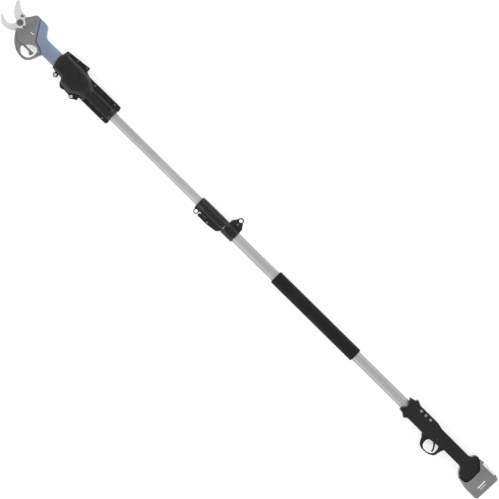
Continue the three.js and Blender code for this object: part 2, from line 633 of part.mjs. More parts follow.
function buildHandleWorks() {
  const { x, y, radius } = triggerPin;
  const blade = [
    [x + 6, y - 4, 4], [x + 5, y + 10, 3], [-845, 21, 4], [-852, 28, 10], [-858.5, 38, 10],
    [-861, 48.5, 2], [-865.6, 47.5, 2], [-864.2, 38, 10], [-858.4, 28.6, 10], [-853, 21, 4],
    [x - 6, y + 8, 3], [x - 6, y - 4, 4],
  ];
  const hole = post(x, y, radius + 0.1, -20, 20, 12);
  piece('trigger', cut(plate(blade, -5.5, 5.5, { edge: 1.2 }), hole), blackPlastic);
  piece('trigger_pin', post(x, y, radius, -19, 19, 12), steel);
  piece('trigger_switch', block([-842 + 3, -4, -6], [-842 + 25, 10, 6]), darkSteel);
  piece('handle_board', block([-950, -18, -9], [-862, -16.2, 9]), boardGreen);
  piece('cable_socket', block([-774, -8, -8], [-765, 8, 8]), lightPlastic);
  piece('terminal_block', block([-983, -22, -16], [-962, 12, 16]), blackPlastic);
}

// ---------------------------------------------------------------- battery
const batteryOutline = [
  [-988, -42, 2], [-1002, -45.5, 12], [-1044, -45.5, 8], [battery.end, -37, 6], [-1067, 56, 8],
  [-1020, 56, 12], [-1000, 51.5, 8], [-981, 46.5, 2],
];

function buildBattery() {
  const { halfThick, seam, end, bayEnd, bayHalf } = battery;
  const channelHalf = latch.halfWidth + running;
  const whole = cut(
    plate(batteryOutline, -halfThick, halfThick, { edge: 6 }),
    plate(handleOutline, -50, 50, { edge: handleEdge, inset: -gap }),
    block([latch.back - 1, -60, -channelHalf], [latch.front + 10, -38, channelHalf]),
  );
  const tenon = block([-1016, -34, -22], [-990, 36, 22]);
  const contacts = block([-995, -24, -17], [-988, 14, 17]);
  const upperHalf = block([seam + gap / 2, -100, -100], [-900, 100, 100]);
  const lowerHalf = block([end - 20, -100, -100], [seam - gap / 2, 100, 100]);
  const cover = join(whole.intersect(upperHalf), tenon);
  piece('battery_cover', cut(cover, contacts), greyPlastic);
  const bay = block([bayEnd, -35, -bayHalf], [seam + 10, 50, bayHalf]);
  piece('battery_tub', cut(whole.intersect(lowerHalf), bay), greyPlastic);

  const first = seam - 4 - cell.radius;
  const spots = [[0, -1], [0, 0], [0, 1], [1, -1], [1, 1]];
  const middle = 3;
  const cells = spots.map(([row, column]) => {
    const geometry = new THREE.CylinderGeometry(cell.radius, cell.radius, cell.length, 10);
    geometry.translate(first - row * cell.pitch, middle, column * cell.pitch);
    return solid(geometry);
  });
  const frames = [-1, 1].map((side) => {
    const at = middle + (side * cell.length) / 2 - side * 4;
    return block([first - cell.pitch - 8, at - 2, -28.4], [first + 8, at + 2, 28.4]);
  });
  piece('cell_block', join(...cells, ...frames), steel);
  const strip = [
    [latch.front, latch.outside + 1, 1], [latch.front - 8, latch.outside, 2],
    [latch.back, latch.outside, 1], [latch.back, latch.outside + latch.thick, 1],
    [latch.front, latch.outside + latch.thick, 1],
  ];
  piece('battery_latch', plate(strip, -latch.halfWidth, latch.halfWidth), lightPlastic);
}

// ---------------------------------------------------------------- assembly
buildTubes();
buildFoamGrip();
buildCables();
buildLock();
buildStrapCollar();
buildHolder();
buildPrunerCasing();
buildBlades();
buildDrive();
buildPrunerTrigger();
buildRearHandle();
buildHandleWorks();
buildBattery();
tool.position.set(0, sideShift, axisHeight);

export default tool;
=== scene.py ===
"""Builds the visible pieces of a telescopic pole pruner around its CAD frame.

The tool lies on its side with its head towards +X, its triggers towards +Y and +Z up. Shapes
are drawn in millimetres about the pole's axis, and placed in the frame by TO_ROW at the end.
"""

import math

import bmesh
import bpy
from bpy.props import FloatProperty, FloatVectorProperty, IntProperty, PointerProperty
from mathutils import Matrix, Vector, noise


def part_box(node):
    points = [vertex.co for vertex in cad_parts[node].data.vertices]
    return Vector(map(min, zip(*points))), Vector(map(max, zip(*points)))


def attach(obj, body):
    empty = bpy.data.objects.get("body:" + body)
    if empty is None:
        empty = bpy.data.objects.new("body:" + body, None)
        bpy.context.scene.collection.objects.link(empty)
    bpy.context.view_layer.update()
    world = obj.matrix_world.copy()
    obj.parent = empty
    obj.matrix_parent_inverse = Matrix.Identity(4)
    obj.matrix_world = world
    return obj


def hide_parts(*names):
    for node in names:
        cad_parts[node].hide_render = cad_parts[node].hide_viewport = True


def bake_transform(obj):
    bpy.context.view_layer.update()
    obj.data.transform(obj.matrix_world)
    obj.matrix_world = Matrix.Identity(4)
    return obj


bl_info = {
    "name": "Telescopic pole pruner",
    "version": (1, 0, 0),
    "blender": (4, 5, 0),
    "location": "3D Viewport > Sidebar > Pole Pruner",
    "description": "Builds the visible pieces of a telescopic pole pruner around its CAD frame",
    "category": "Object",
}

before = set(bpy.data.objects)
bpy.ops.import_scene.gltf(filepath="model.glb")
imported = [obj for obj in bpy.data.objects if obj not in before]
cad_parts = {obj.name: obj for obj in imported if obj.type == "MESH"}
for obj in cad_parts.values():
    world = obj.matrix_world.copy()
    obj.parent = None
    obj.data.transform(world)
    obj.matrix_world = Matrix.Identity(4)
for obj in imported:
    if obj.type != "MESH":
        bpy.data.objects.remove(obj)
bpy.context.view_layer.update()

MM = 0.001
GAP = 0.3            # between pieces that touch, in mm
RUNNING = 0.5        # between pieces that slide, in mm
FAR = 2000.0         # beyond the tool's ends, in mm
ARC_STEP = 6         # turn between two points of a rounded corner, in degrees
SIDE_SHARE = 0.48    # the most of a side that the rounding of one corner takes
SHORTEST_ARC = 0.05  # roundings with less reach than this are left sharp, in mm
WELD = 0.004         # corners nearer than this are one corner, in mm
LENGTHWISE = Matrix(((0, 0, 1, 0), (1, 0, 0, 0), (0, 1, 0, 0), (0, 0, 0, 1)))


def frame_placement():
    """The matrix from millimetres about the pole's axis to metres in the frame."""
    low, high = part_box("inner_tube")
    centre = (low + high) / 2
    return Matrix.Translation((0, centre.y, centre.z)) @ Matrix.Scale(MM, 4)


TO_ROW = frame_placement()
TO_POLE = TO_ROW.inverted()


def extent(node, axis):
    """A CAD node's lowest and highest place along one axis, in mm from the pole's axis."""
    corners = [TO_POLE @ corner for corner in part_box(node)]
    place = "xyz".index(axis)
    return corners[0][place], corners[1][place]


def middle(node):
    """The middle of a CAD node's box, in mm from the pole's axis."""
    low, high = (TO_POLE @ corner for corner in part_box(node))
    return (low + high) / 2


# ------------------------------------------------------------------ workpieces
def workpiece(bm):
    """Turns a bmesh into an object that can be joined, cut and finished."""
    bmesh.ops.recalc_face_normals(bm, faces=bm.faces[:])
    mesh = bpy.data.meshes.new("work")
    bm.to_mesh(mesh)
    bm.free()
    piece = bpy.data.objects.new("work", mesh)
    bpy.context.scene.collection.objects.link(piece)
    return piece


def discard(piece):
    """Removes a workpiece and its mesh."""
    mesh = piece.data
    bpy.data.objects.remove(piece)
    bpy.data.meshes.remove(mesh)


def combine(piece, tool, operation):
    """Joins, cuts or intersects a workpiece with a tool, and keeps the tool."""
    modifier = piece.modifiers.new("combine", "BOOLEAN")
    modifier.operation = operation
    modifier.solver = "MANIFOLD"
    modifier.object = tool
    graph = bpy.context.evaluated_depsgraph_get()
    result = bpy.data.meshes.new_from_object(piece.evaluated_get(graph))
    piece.modifiers.clear()
    old = piece.data
    piece.data = result
    bpy.data.meshes.remove(old)
    if not result.polygons:
        raise RuntimeError(f"{operation.lower()} left nothing of a workpiece")
    return piece


def join(piece, *others):
    """Joins the others to a workpiece, and discards them."""
    for other in others:
        combine(piece, other, "UNION")
        discard(other)
    return piece


def cut(piece, *tools):
    """Cuts the tools out of a workpiece, and discards them."""
    for tool in tools:
        combine(piece, tool, "DIFFERENCE")
        discard(tool)
    return piece


def common(piece, tool):
    """Keeps what a workpiece shares with a tool, and discards the tool."""
    combine(piece, tool, "INTERSECT")
    discard(tool)
    return piece


def twin(piece):
    """A second workpiece of the same shape."""
    other = piece.copy()
    other.data = piece.data.copy()
    bpy.context.scene.collection.objects.link(other)
    return other


def halves(whole):
    """The front and back halves of a casing, parted at the level of the pole's axis."""
    back = twin(whole)
    front = common(whole, block((-FAR, -FAR, GAP / 2), (FAR, FAR, FAR)))
    back = common(back, block((-FAR, -FAR, -FAR), (FAR, FAR, -GAP / 2)))
    return front, back


def flowing(corners):
    """The same corners, with each rounded one rounded as far as its sides allow."""
    return [(*corner[:2], 500) if len(corner) > 2 else corner for corner in corners]


def arc_steps(turn, radius):
    """How many straight steps make an arc of a given turn, in degrees."""
    fewest, most, small = 3, 14, 2
    if radius <= small:
        return fewest
    return max(fewest, min(most, math.ceil(turn / ARC_STEP)))


def outline(bm, corners, height=0.0, least=0.0):
    """A flat face of corners (x, y, radius), each rounded by an arc of its own radius.
    A corner whose arc is no larger than the least radius stays sharp."""
    verts = [bm.verts.new((corner[0], corner[1], height)) for corner in corners]
    bm.faces.new(verts)
    count = len(corners)
    for i, corner in enumerate(corners):
        radius = corner[2] if len(corner) > 2 else 0
        here = Vector(corner[:2])
        back = Vector(corners[i - 1][:2]) - here
        ahead = Vector(corners[(i + 1) % count][:2]) - here
        half = back.angle(ahead) / 2
        reach = min(SIDE_SHARE * min(back.length, ahead.length), radius / math.tan(half))
        arc = reach * math.tan(half)
        if reach < SHORTEST_ARC or arc <= least:
            continue
        bmesh.ops.bevel(
            bm, geom=[verts[i]], offset=reach, offset_type="OFFSET", affect="VERTICES",
            segments=arc_steps(180 - math.degrees(2 * half), arc), profile=0.5,
            clamp_overlap=False, material=-1,
        )


def raise_faces(bm, height):
    """Extrudes all faces upwards by a height, along Z."""
    top = bmesh.ops.extrude_face_region(bm, geom=bm.faces[:])["geom"]
    raised = [part for part in top if isinstance(part, bmesh.types.BMVert)]
    bmesh.ops.translate(bm, verts=raised, vec=(0, 0, height))


def level_edges(bm, height):
    return [
        edge for edge in bm.edges
        if all(abs(vert.co.z - height) < 1e-4 for vert in edge.verts)
    ]


def plate(corners, low, high, rim=0.0, steps=4, under=True, inset=0.0):
    """A plate of an XY outline between two heights, with rounded rims. An inset draws its
    sides in, and a negative one pushes them out."""
    bm = bmesh.new()
    outline(bm, corners, low, least=1.15 * (rim + max(inset, 0.0)))
    if inset:
        bmesh.ops.recalc_face_normals(bm, faces=bm.faces[:])
        bmesh.ops.inset_region(
            bm, faces=bm.faces[:], thickness=abs(inset), use_boundary=True,
            use_even_offset=True, use_outset=inset < 0,
        )
        if inset > 0:
            widest = max(face.calc_area() for face in bm.faces)
            ring = [face for face in bm.faces
                    if len(face.verts) == 4 and face.calc_area() < 0.9 * widest]
            bmesh.ops.delete(bm, geom=ring, context="FACES")
        else:
            bmesh.ops.dissolve_faces(bm, faces=bm.faces[:], use_verts=True)
    raise_faces(bm, high - low)
    bmesh.ops.recalc_face_normals(bm, faces=bm.faces[:])
    if rim:
        edges = level_edges(bm, high) + (level_edges(bm, low) if under else [])
        bmesh.ops.bevel(
            bm, geom=edges, offset=rim, offset_type="OFFSET", affect="EDGES", segments=steps,
            profile=0.5, clamp_overlap=False, material=-1,
        )
    return workpiece(bm)


def side_plate(corners, low, high):
    """A plate of an XZ outline between two values of Y."""
    bm = bmesh.new()
    outline(bm, corners)
    raise_faces(bm, high - low)
    bmesh.ops.rotate(bm, verts=bm.verts[:], matrix=Matrix.Rotation(math.pi / 2, 3, "X"))
    bmesh.ops.translate(bm, verts=bm.verts[:], vec=(0, high, 0))
    return workpiece(bm)


def block(low, high, rim=0.0):
    """A box between two opposite corners."""
    bm = bmesh.new()
    bmesh.ops.create_cube(bm, size=1.0)
    lengths = [b - a for a, b in zip(low, high)]
    centre = [(a + b) / 2 for a, b in zip(low, high)]
    bmesh.ops.scale(bm, vec=lengths, verts=bm.verts[:])
    bmesh.ops.translate(bm, vec=centre, verts=bm.verts[:])
    if rim:
        bmesh.ops.bevel(
            bm, geom=bm.edges[:], offset=rim, offset_type="OFFSET", affect="EDGES", segments=3,
            profile=0.5, clamp_overlap=True, material=-1,
        )
    return workpiece(bm)


def full_spin(bm, steps):
    """Turns a profile that lies in the XZ plane once round Z, and closes the seam."""
    bmesh.ops.spin(
        bm, geom=bm.verts[:] + bm.edges[:], cent=(0, 0, 0), axis=(0, 0, 1),
        angle=2 * math.pi, steps=steps, use_merge=True, use_duplicate=False,
    )
    bmesh.ops.remove_doubles(bm, verts=bm.verts[:], dist=1e-3)


def spun(corners, steps, matrix):
    """Turns a closed profile of corners (along, radius, rounding) once round."""
    bm = bmesh.new()
    outline(bm, [(c[1], c[0], *c[2:]) for c in corners])
    bmesh.ops.rotate(bm, verts=bm.verts[:], matrix=Matrix.Rotation(math.pi / 2, 3, "X"))
    bmesh.ops.delete(bm, geom=bm.faces[:], context="FACES_ONLY")
    full_spin(bm, steps)
    bmesh.ops.dissolve_degenerate(bm, edges=bm.edges[:], dist=1e-4)
    bmesh.ops.transform(bm, verts=bm.verts[:], matrix=matrix)
    return workpiece(bm)


def turned(corners, steps=96, at=(0, 0)):
    """A body turned about a line along X at (y, z), from corners (x, radius, rounding)."""
    return spun(corners, steps, Matrix.Translation((0, at[0], at[1])) @ LENGTHWISE)


def upright(x, y, corners, steps=48):
    """A body turned about an upright line at (x, y), from corners (z, radius, rounding)."""
    return spun(corners, steps, Matrix.Translation((x, y, 0)))


def rod(start, end, radius, y=0.0, z=0.0, steps=48):
    """A round bar along X."""
    return turned([(start, 0), (start, radius), (end, radius), (end, 0)], steps, (y, z))


def sleeve(start, end, radius, bore, rounding=0.0, steps=96):
    """A ring or a tube about the pole's axis."""
    corners = [(start, bore), (start, radius, rounding), (end, radius, rounding), (end, bore)]
    return turned(corners, steps)


def post(x, y, radius, low, high, steps=48, rounding=0.0):
    """A round bar along Z."""
    corners = [(low, 0), (low, radius, rounding), (high, radius, rounding), (high, 0)]
    return upright(x, y, corners, steps)


def finish(piece, name, body, material, stands_for=None, crease=32):
    """Places a workpiece in the frame, smooths its shading and ties it to its body. It takes
    the place of the CAD node it stands for. Its one slot holds the finish of that material's name."""
    bm = bmesh.new()
    bm.from_mesh(piece.data)
    bmesh.ops.remove_doubles(bm, verts=bm.verts[:], dist=WELD)
    bmesh.ops.dissolve_degenerate(bm, edges=bm.edges[:], dist=WELD / 2)
    bmesh.ops.transform(bm, matrix=TO_ROW, verts=bm.verts[:])
    bm.to_mesh(piece.data)
    bm.free()
    piece.name = name
    piece.data.name = name
    piece.data.materials.clear()
    piece.data.materials.append(look(material))
    piece.data.shade_smooth()
    piece.data.set_sharp_from_angle(angle=math.radians(crease))
    weighted = piece.modifiers.new("weighted normals", "WEIGHTED_NORMAL")
    weighted.keep_sharp = True
    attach(piece, body)
    if stands_for:
        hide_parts(stands_for)


# ------------------------------------------------------------------ settings
def size_setting(name, description, millimetres):
    """A length that a user may change. Blender keeps it in metres."""
    return FloatProperty(name=name, description=description, default=millimetres * MM,
                         min=0.01 * MM, max=50.0 * MM, precision=5, subtype="DISTANCE")


def colour_setting(name, description, default):
    return FloatVectorProperty(name=name, description=description, default=default,
                               size=3, subtype="COLOR", min=0.0, max=1.0)


class PolePrunerSizes(bpy.types.PropertyGroup):
    """Sizes of the fine details."""

    flute_depth: size_setting("Flute depth", "Depth of the flutes along the tubes", 0.8)
    flute_count: IntProperty(name="Flutes", description="Number of flutes round a tube",
                             default=24, min=8, max=90)
    foam_swell: size_setting("Foam swell", "How far the foam's surface wanders", 0.35)
    coil_turns: IntProperty(name="Coil turns", description="Turns of the curly cable",
                            default=44, min=5, max=80)
    coil_wire: size_setting("Cable thickness", "Diameter of the curly cable's wire", 4.6)
    shell_rim: size_setting("Rim radius", "Rounding of the moulded shells' thin rims", 1.6)
    edge_land: size_setting("Ground edge", "Width of the cutting blade's ground edge", 2.6)


class PolePrunerColours(bpy.types.PropertyGroup):
    """Base colours of the finishes."""

    black_plastic: colour_setting("Black plastic", "Moulded black casing", (0.0125, 0.0125, 0.013))
    foam: colour_setting("Foam", "Closed-cell foam", (0.0165, 0.0165, 0.017))
    aluminium: colour_setting("Aluminium", "Anodised tube", (0.385, 0.388, 0.39))
    blade_steel: colour_setting("Blade steel", "Pale ground steel", (0.82, 0.822, 0.825))
    steel: colour_setting("Steel", "Zinc-plated steel", (0.42, 0.43, 0.44))
    dark_steel: colour_setting("Dark steel", "Blackened steel", (0.20, 0.202, 0.207))
    grey_plastic: colour_setting("Grey plastic", "Secateurs' head and battery", (0.20, 0.20, 0.205))
    blue_plastic: colour_setting("Blue plastic", "Secateurs' grip", (0.205, 0.268, 0.40))
    light_plastic: colour_setting("Light plastic", "Lenses and strips", (0.74, 0.745, 0.75))
    circuit_board: colour_setting("Circuit board", "Solder mask", (0.03, 0.12, 0.06))
    cable_rubber: colour_setting("Cable rubber", "Cable sheath", (0.014, 0.014, 0.015))
    wrap_plastic: colour_setting("Cell wrap", "Shrink sleeve of the cells", (0.05, 0.16, 0.30))


def fine_sizes():
    """The group of sizes that the panel shows."""
    return bpy.context.scene.pole_pruner_sizes


def size(name):
    """A length from the settings, in millimetres."""
    return getattr(fine_sizes(), name) / MM


def colours():
    """The group of colours that the panel shows."""
    return bpy.context.scene.pole_pruner_colours


# ------------------------------------------------------------------ shader groups
def new_group(name, inputs, outputs):
    """An empty shader group with named inputs (name, type, default) and outputs (name, type)."""
    group = bpy.data.node_groups.new(name, "ShaderNodeTree")
    for socket_name, kind, default in inputs:
        socket = group.interface.new_socket(socket_name, in_out="INPUT", socket_type=kind)
        socket.default_value = default
    for socket_name, kind in outputs:
        group.interface.new_socket(socket_name, in_out="OUTPUT", socket_type=kind)
    start = group.nodes.new("NodeGroupInput")
    end = group.nodes.new("NodeGroupOutput")
    return group, start, end


def add_node(tree, kind, values=(), **settings):
    """A shader node with its settings, and values for its inputs by name."""
    node = tree.nodes.new(kind)
    for name, value in settings.items():
        setattr(node, name, value)
    for name, value in dict(values).items():
        node.inputs[name].default_value = value
    return node


def link(tree, source, target):
    tree.links.new(source, target)


def object_noise(tree, scale, detail=2.0, roughness=0.5):
    """Noise in object space."""
    place = add_node(tree, "ShaderNodeTexCoord")
    texture = add_node(tree, "ShaderNodeTexNoise",
                       {"Scale": scale, "Detail": detail, "Roughness": roughness})
    link(tree, place.outputs["Object"], texture.inputs["Vector"])
    return texture


def remap(tree, source, low_in, high_in, low_out, high_out):
    node = add_node(tree, "ShaderNodeMapRange", {
        "From Min": low_in, "From Max": high_in, "To Min": low_out, "To Max": high_out,
    })
    link(tree, source, node.inputs["Value"])
    return node.outputs["Result"]


def mixed_colour(tree, factor, first, second):
    node = add_node(tree, "ShaderNodeMix", data_type="RGBA", blend_type="MIX")
    link(tree, factor, node.inputs["Factor"])
    for value, socket in ((first, node.inputs[6]), (second, node.inputs[7])):
        if isinstance(value, bpy.types.NodeSocket):
            link(tree, value, socket)
        else:
            socket.default_value = value
    return node.outputs[2]


def build_grain_group():
    """Fine spark-eroded grain of moulded plastic, with slow drifts of tone and gloss."""
    tree, start, end = new_group("moulded_grain", [
        ("Colour", "NodeSocketColor", (0.5, 0.5, 0.5, 1.0)),
        ("Roughness", "NodeSocketFloat", 0.5),
        ("Tone Drift", "NodeSocketFloat", 0.12),
    ], [("Colour", "NodeSocketColor"), ("Roughness", "NodeSocketFloat"), ("Height", "NodeSocketFloat")])
    fine = object_noise(tree, 1500.0, 2.0, 0.6)
    broad = object_noise(tree, 14.0, 3.0, 0.55)
    rubbed = object_noise(tree, 60.0, 4.0, 0.6)
    darker = add_node(tree, "ShaderNodeMath", operation="MULTIPLY")
    swing = remap(tree, broad.outputs["Fac"], 0.3, 0.7, -1.0, 1.0)
    link(tree, swing, darker.inputs[0])
    link(tree, start.outputs["Tone Drift"], darker.inputs[1])
    level = add_node(tree, "ShaderNodeMath", operation="ADD")
    level.inputs[1].default_value = 1.0
    link(tree, darker.outputs[0], level.inputs[0])
    tinted = add_node(tree, "ShaderNodeVectorMath", operation="SCALE")
    link(tree, start.outputs["Colour"], tinted.inputs[0])
    link(tree, level.outputs[0], tinted.inputs["Scale"])
    link(tree, tinted.outputs[0], end.inputs["Colour"])
    gloss = add_node(tree, "ShaderNodeMath", operation="ADD")
    link(tree, start.outputs["Roughness"], gloss.inputs[0])
    link(tree, remap(tree, rubbed.outputs["Fac"], 0.3, 0.7, -0.07, 0.07), gloss.inputs[1])
    link(tree, gloss.outputs[0], end.inputs["Roughness"])
    link(tree, fine.outputs["Fac"], end.inputs["Height"])
    return tree


def build_wear_and_highlight_group():
    """A mask of the edges made brighter: partly where hands and ground rub them,
    partly painted highlight where light catches the rounded edges.
    """
    tree, start, end = new_group("edge_wear_and_highlight", [
        ("Amount", "NodeSocketFloat", 0.5),
    ], [("Mask", "NodeSocketFloat")])
    soft = add_node(tree, "ShaderNodeBevel", {"Radius": 0.0011}, samples=4)
    true = add_node(tree, "ShaderNodeNewGeometry")
    facing = add_node(tree, "ShaderNodeVectorMath", operation="DOT_PRODUCT")
    link(tree, soft.outputs["Normal"], facing.inputs[0])
    link(tree, true.outputs["Normal"], facing.inputs[1])
    edge = remap(tree, facing.outputs["Value"], 0.995, 0.80, 0.0, 1.0)
    broken = object_noise(tree, 180.0, 5.0, 0.7)
    patch = remap(tree, broken.outputs["Fac"], 0.42, 0.66, 0.0, 1.0)
    product = add_node(tree, "ShaderNodeMath", operation="MULTIPLY")
    link(tree, edge, product.inputs[0])
    link(tree, patch, product.inputs[1])
    scaled = add_node(tree, "ShaderNodeMath", operation="MULTIPLY", use_clamp=True)
    link(tree, product.outputs[0], scaled.inputs[0])
    link(tree, start.outputs["Amount"], scaled.inputs[1])
    link(tree, scaled.outputs[0], end.inputs["Mask"])
    return tree


def build_streak_group():
    """Fine parallel lines of drawn, brushed or ground metal along one direction."""
    tree, start, end = new_group("metal_streaks", [
        ("Stretch", "NodeSocketVector", (1.0, 60.0, 60.0)),
        ("Roughness", "NodeSocketFloat", 0.35),
        ("Spread", "NodeSocketFloat", 0.1),
    ], [("Roughness", "NodeSocketFloat"), ("Height", "NodeSocketFloat"), ("Tone", "NodeSocketFloat")])
    place = add_node(tree, "ShaderNodeTexCoord")
    stretched = add_node(tree, "ShaderNodeVectorMath", operation="MULTIPLY")
    link(tree, place.outputs["Object"], stretched.inputs[0])
    link(tree, start.outputs["Stretch"], stretched.inputs[1])
    lines = add_node(tree, "ShaderNodeTexNoise", {"Scale": 22.0, "Detail": 4.0, "Roughness": 0.65})
    link(tree, stretched.outputs[0], lines.inputs["Vector"])
    swing = remap(tree, lines.outputs["Fac"], 0.3, 0.7, -1.0, 1.0)
    spread = add_node(tree, "ShaderNodeMath", operation="MULTIPLY")
    link(tree, swing, spread.inputs[0])
    link(tree, start.outputs["Spread"], spread.inputs[1])
    total = add_node(tree, "ShaderNodeMath", operation="ADD")
    link(tree, start.outputs["Roughness"], total.inputs[0])
    link(tree, spread.outputs[0], total.inputs[1])
    link(tree, total.outputs[0], end.inputs["Roughness"])
    link(tree, lines.outputs["Fac"], end.inputs["Height"])
    smudge = object_noise(tree, 9.0, 3.0, 0.5)
    link(tree, remap(tree, smudge.outputs["Fac"], 0.3, 0.7, 0.90, 1.06), end.inputs["Tone"])
    return tree


def place_group(tree, name, **values):
    node = tree.nodes.new("ShaderNodeGroup")
    node.node_tree = bpy.data.node_groups[name]
    for key, value in values.items():
        node.inputs[key.replace("_", " ")].default_value = value
    return node


def look(name):
    """The finish of that name, apart from the CAD frame's own materials."""
    return bpy.data.materials["finish " + name]


def new_material(name, colour):
    material = bpy.data.materials.new("finish " + name)
    material.use_nodes = True
    material.diffuse_color = (*colour, 1.0)
    tree = material.node_tree
    shader = tree.nodes["Principled BSDF"]
    shader.inputs["Base Color"].default_value = (*colour, 1.0)
    return tree, shader


def add_bump(tree, shader, height, strength, distance):
    bump = add_node(tree, "ShaderNodeBump", {"Strength": strength, "Distance": distance})
    link(tree, height, bump.inputs["Height"])
    link(tree, bump.outputs["Normal"], shader.inputs["Normal"])


def moulded_plastic(name, colour, roughness, wear_and_highlight=0.5, wear_and_highlight_lift=2.2, grain=0.35, drift=0.10, lower=None):
    """Moulded plastic with a fine grain, and edges made paler, partly by rubbing and partly as painted
    highlight where light catches them. A lower colour is what it fades to on the trigger side of the
    pole."""
    tree, shader = new_material(name, colour)
    surface = place_group(tree, "moulded_grain", Colour=(*colour, 1.0), Roughness=roughness,
                          Tone_Drift=drift)
    if lower:
        place = add_node(tree, "ShaderNodeTexCoord")
        parts = add_node(tree, "ShaderNodeSeparateXYZ")
        link(tree, place.outputs["Object"], parts.inputs["Vector"])
        across = remap(tree, parts.outputs["Y"], -0.035, 0.018, 0.0, 0.8)
        link(tree, mixed_colour(tree, across, (*colour, 1.0), (*lower, 1.0)),
             surface.inputs["Colour"])
    # Paler edges: partly rubbing, partly painted highlight along the rounded edges.
    edges = place_group(tree, "edge_wear_and_highlight", Amount=wear_and_highlight)
    worn_and_lit_edge_colour = tuple(min(1.0, c * wear_and_highlight_lift + 0.01) for c in colour)
    tone = mixed_colour(tree, edges.outputs["Mask"], surface.outputs["Colour"], (*worn_and_lit_edge_colour, 1.0))
    link(tree, tone, shader.inputs["Base Color"])
    link(tree, surface.outputs["Roughness"], shader.inputs["Roughness"])
    shader.inputs["Specular IOR Level"].default_value = 0.3
    add_bump(tree, shader, surface.outputs["Height"], grain, 0.0002)


def streaked_metal(name, colour, roughness, stretch, spread=0.08, wear_and_highlight=0.0, bump=0.25, metallic=1.0):
    """Drawn or ground metal with fine lines, and slow smudges of tone."""
    tree, shader = new_material(name, colour)
    lines = place_group(tree, "metal_streaks", Stretch=stretch, Roughness=roughness, Spread=spread)
    toned = add_node(tree, "ShaderNodeVectorMath", {0: colour}, operation="SCALE")
    link(tree, lines.outputs["Tone"], toned.inputs["Scale"])
    base = toned.outputs[0]
    # Paler edges: partly rubbing, partly painted highlight along the rounded edges.
    if wear_and_highlight:
        edges = place_group(tree, "edge_wear_and_highlight", Amount=wear_and_highlight)
        worn_and_lit_edge_colour = tuple(min(1.0, c * 2.4 + 0.1) for c in colour)
        base = mixed_colour(tree, edges.outputs["Mask"], base, (*worn_and_lit_edge_colour, 1.0))
    link(tree, base, shader.inputs["Base Color"])
    link(tree, lines.outputs["Roughness"], shader.inputs["Roughness"])
    shader.inputs["Metallic"].default_value = metallic
    add_bump(tree, shader, lines.outputs["Height"], bump, 0.0001)


def foam_material(name, colour):
    """Closed-cell foam: matt, with open pores painted darker as painted shade in their hollows, and
    slow drifts of tone.
    """
    tree, shader = new_material(name, colour)
    place = add_node(tree, "ShaderNodeTexCoord")
    cells = add_node(tree, "ShaderNodeTexVoronoi", {"Scale": 850.0, "Randomness": 1.0},
                     feature="SMOOTH_F1")
    link(tree, place.outputs["Object"], cells.inputs["Vector"])
    pore = remap(tree, cells.outputs["Distance"], 0.05, 0.55, 1.0, 0.0)
    patches = object_noise(tree, 25.0, 4.0, 0.6)
    drift = remap(tree, patches.outputs["Fac"], 0.3, 0.7, 0.75, 1.35)
    toned = add_node(tree, "ShaderNodeVectorMath", {0: colour}, operation="SCALE")
    link(tree, drift, toned.inputs["Scale"])
    # The pores' darker colour is painted shade in their hollows.
    pore_shade_colour = tuple(c * 0.35 for c in colour)
    tone = mixed_colour(tree, pore, toned.outputs[0], (*pore_shade_colour, 1.0))
    link(tree, tone, shader.inputs["Base Color"])
    link(tree, remap(tree, patches.outputs["Fac"], 0.3, 0.7, 0.78, 0.94), shader.inputs["Roughness"])
    shader.inputs["Sheen Weight"].default_value = 0.08
    shader.inputs["Specular IOR Level"].default_value = 0.08
    flip = remap(tree, pore, 0.0, 1.0, 1.0, 0.0)
    add_bump(tree, shader, flip, 0.8, 0.0005)


def board_material(name, colour):
    """A circuit board: green mask over a lattice of copper tracks."""
    tree, shader = new_material(name, colour)
    place = add_node(tree, "ShaderNodeTexCoord")
    tracks = add_node(tree, "ShaderNodeTexBrick", {
        "Scale": 160.0, "Mortar Size": 0.06, "Color1": (*colour, 1.0), "Color2": (*colour, 1.0),
        "Mortar": (0.10, 0.22, 0.09, 1.0),
    })
    link(tree, place.outputs["Object"], tracks.inputs["Vector"])
    mottle = object_noise(tree, 90.0)
    tone = mixed_colour(tree, mottle.outputs["Fac"], tracks.outputs["Color"], (0.02, 0.08, 0.04, 1.0))
    link(tree, tone, shader.inputs["Base Color"])
    link(tree, remap(tree, mottle.outputs["Fac"], 0.3, 0.7, 0.30, 0.5), shader.inputs["Roughness"])
    add_bump(tree, shader, tracks.outputs["Fac"], 0.3, 0.0001)


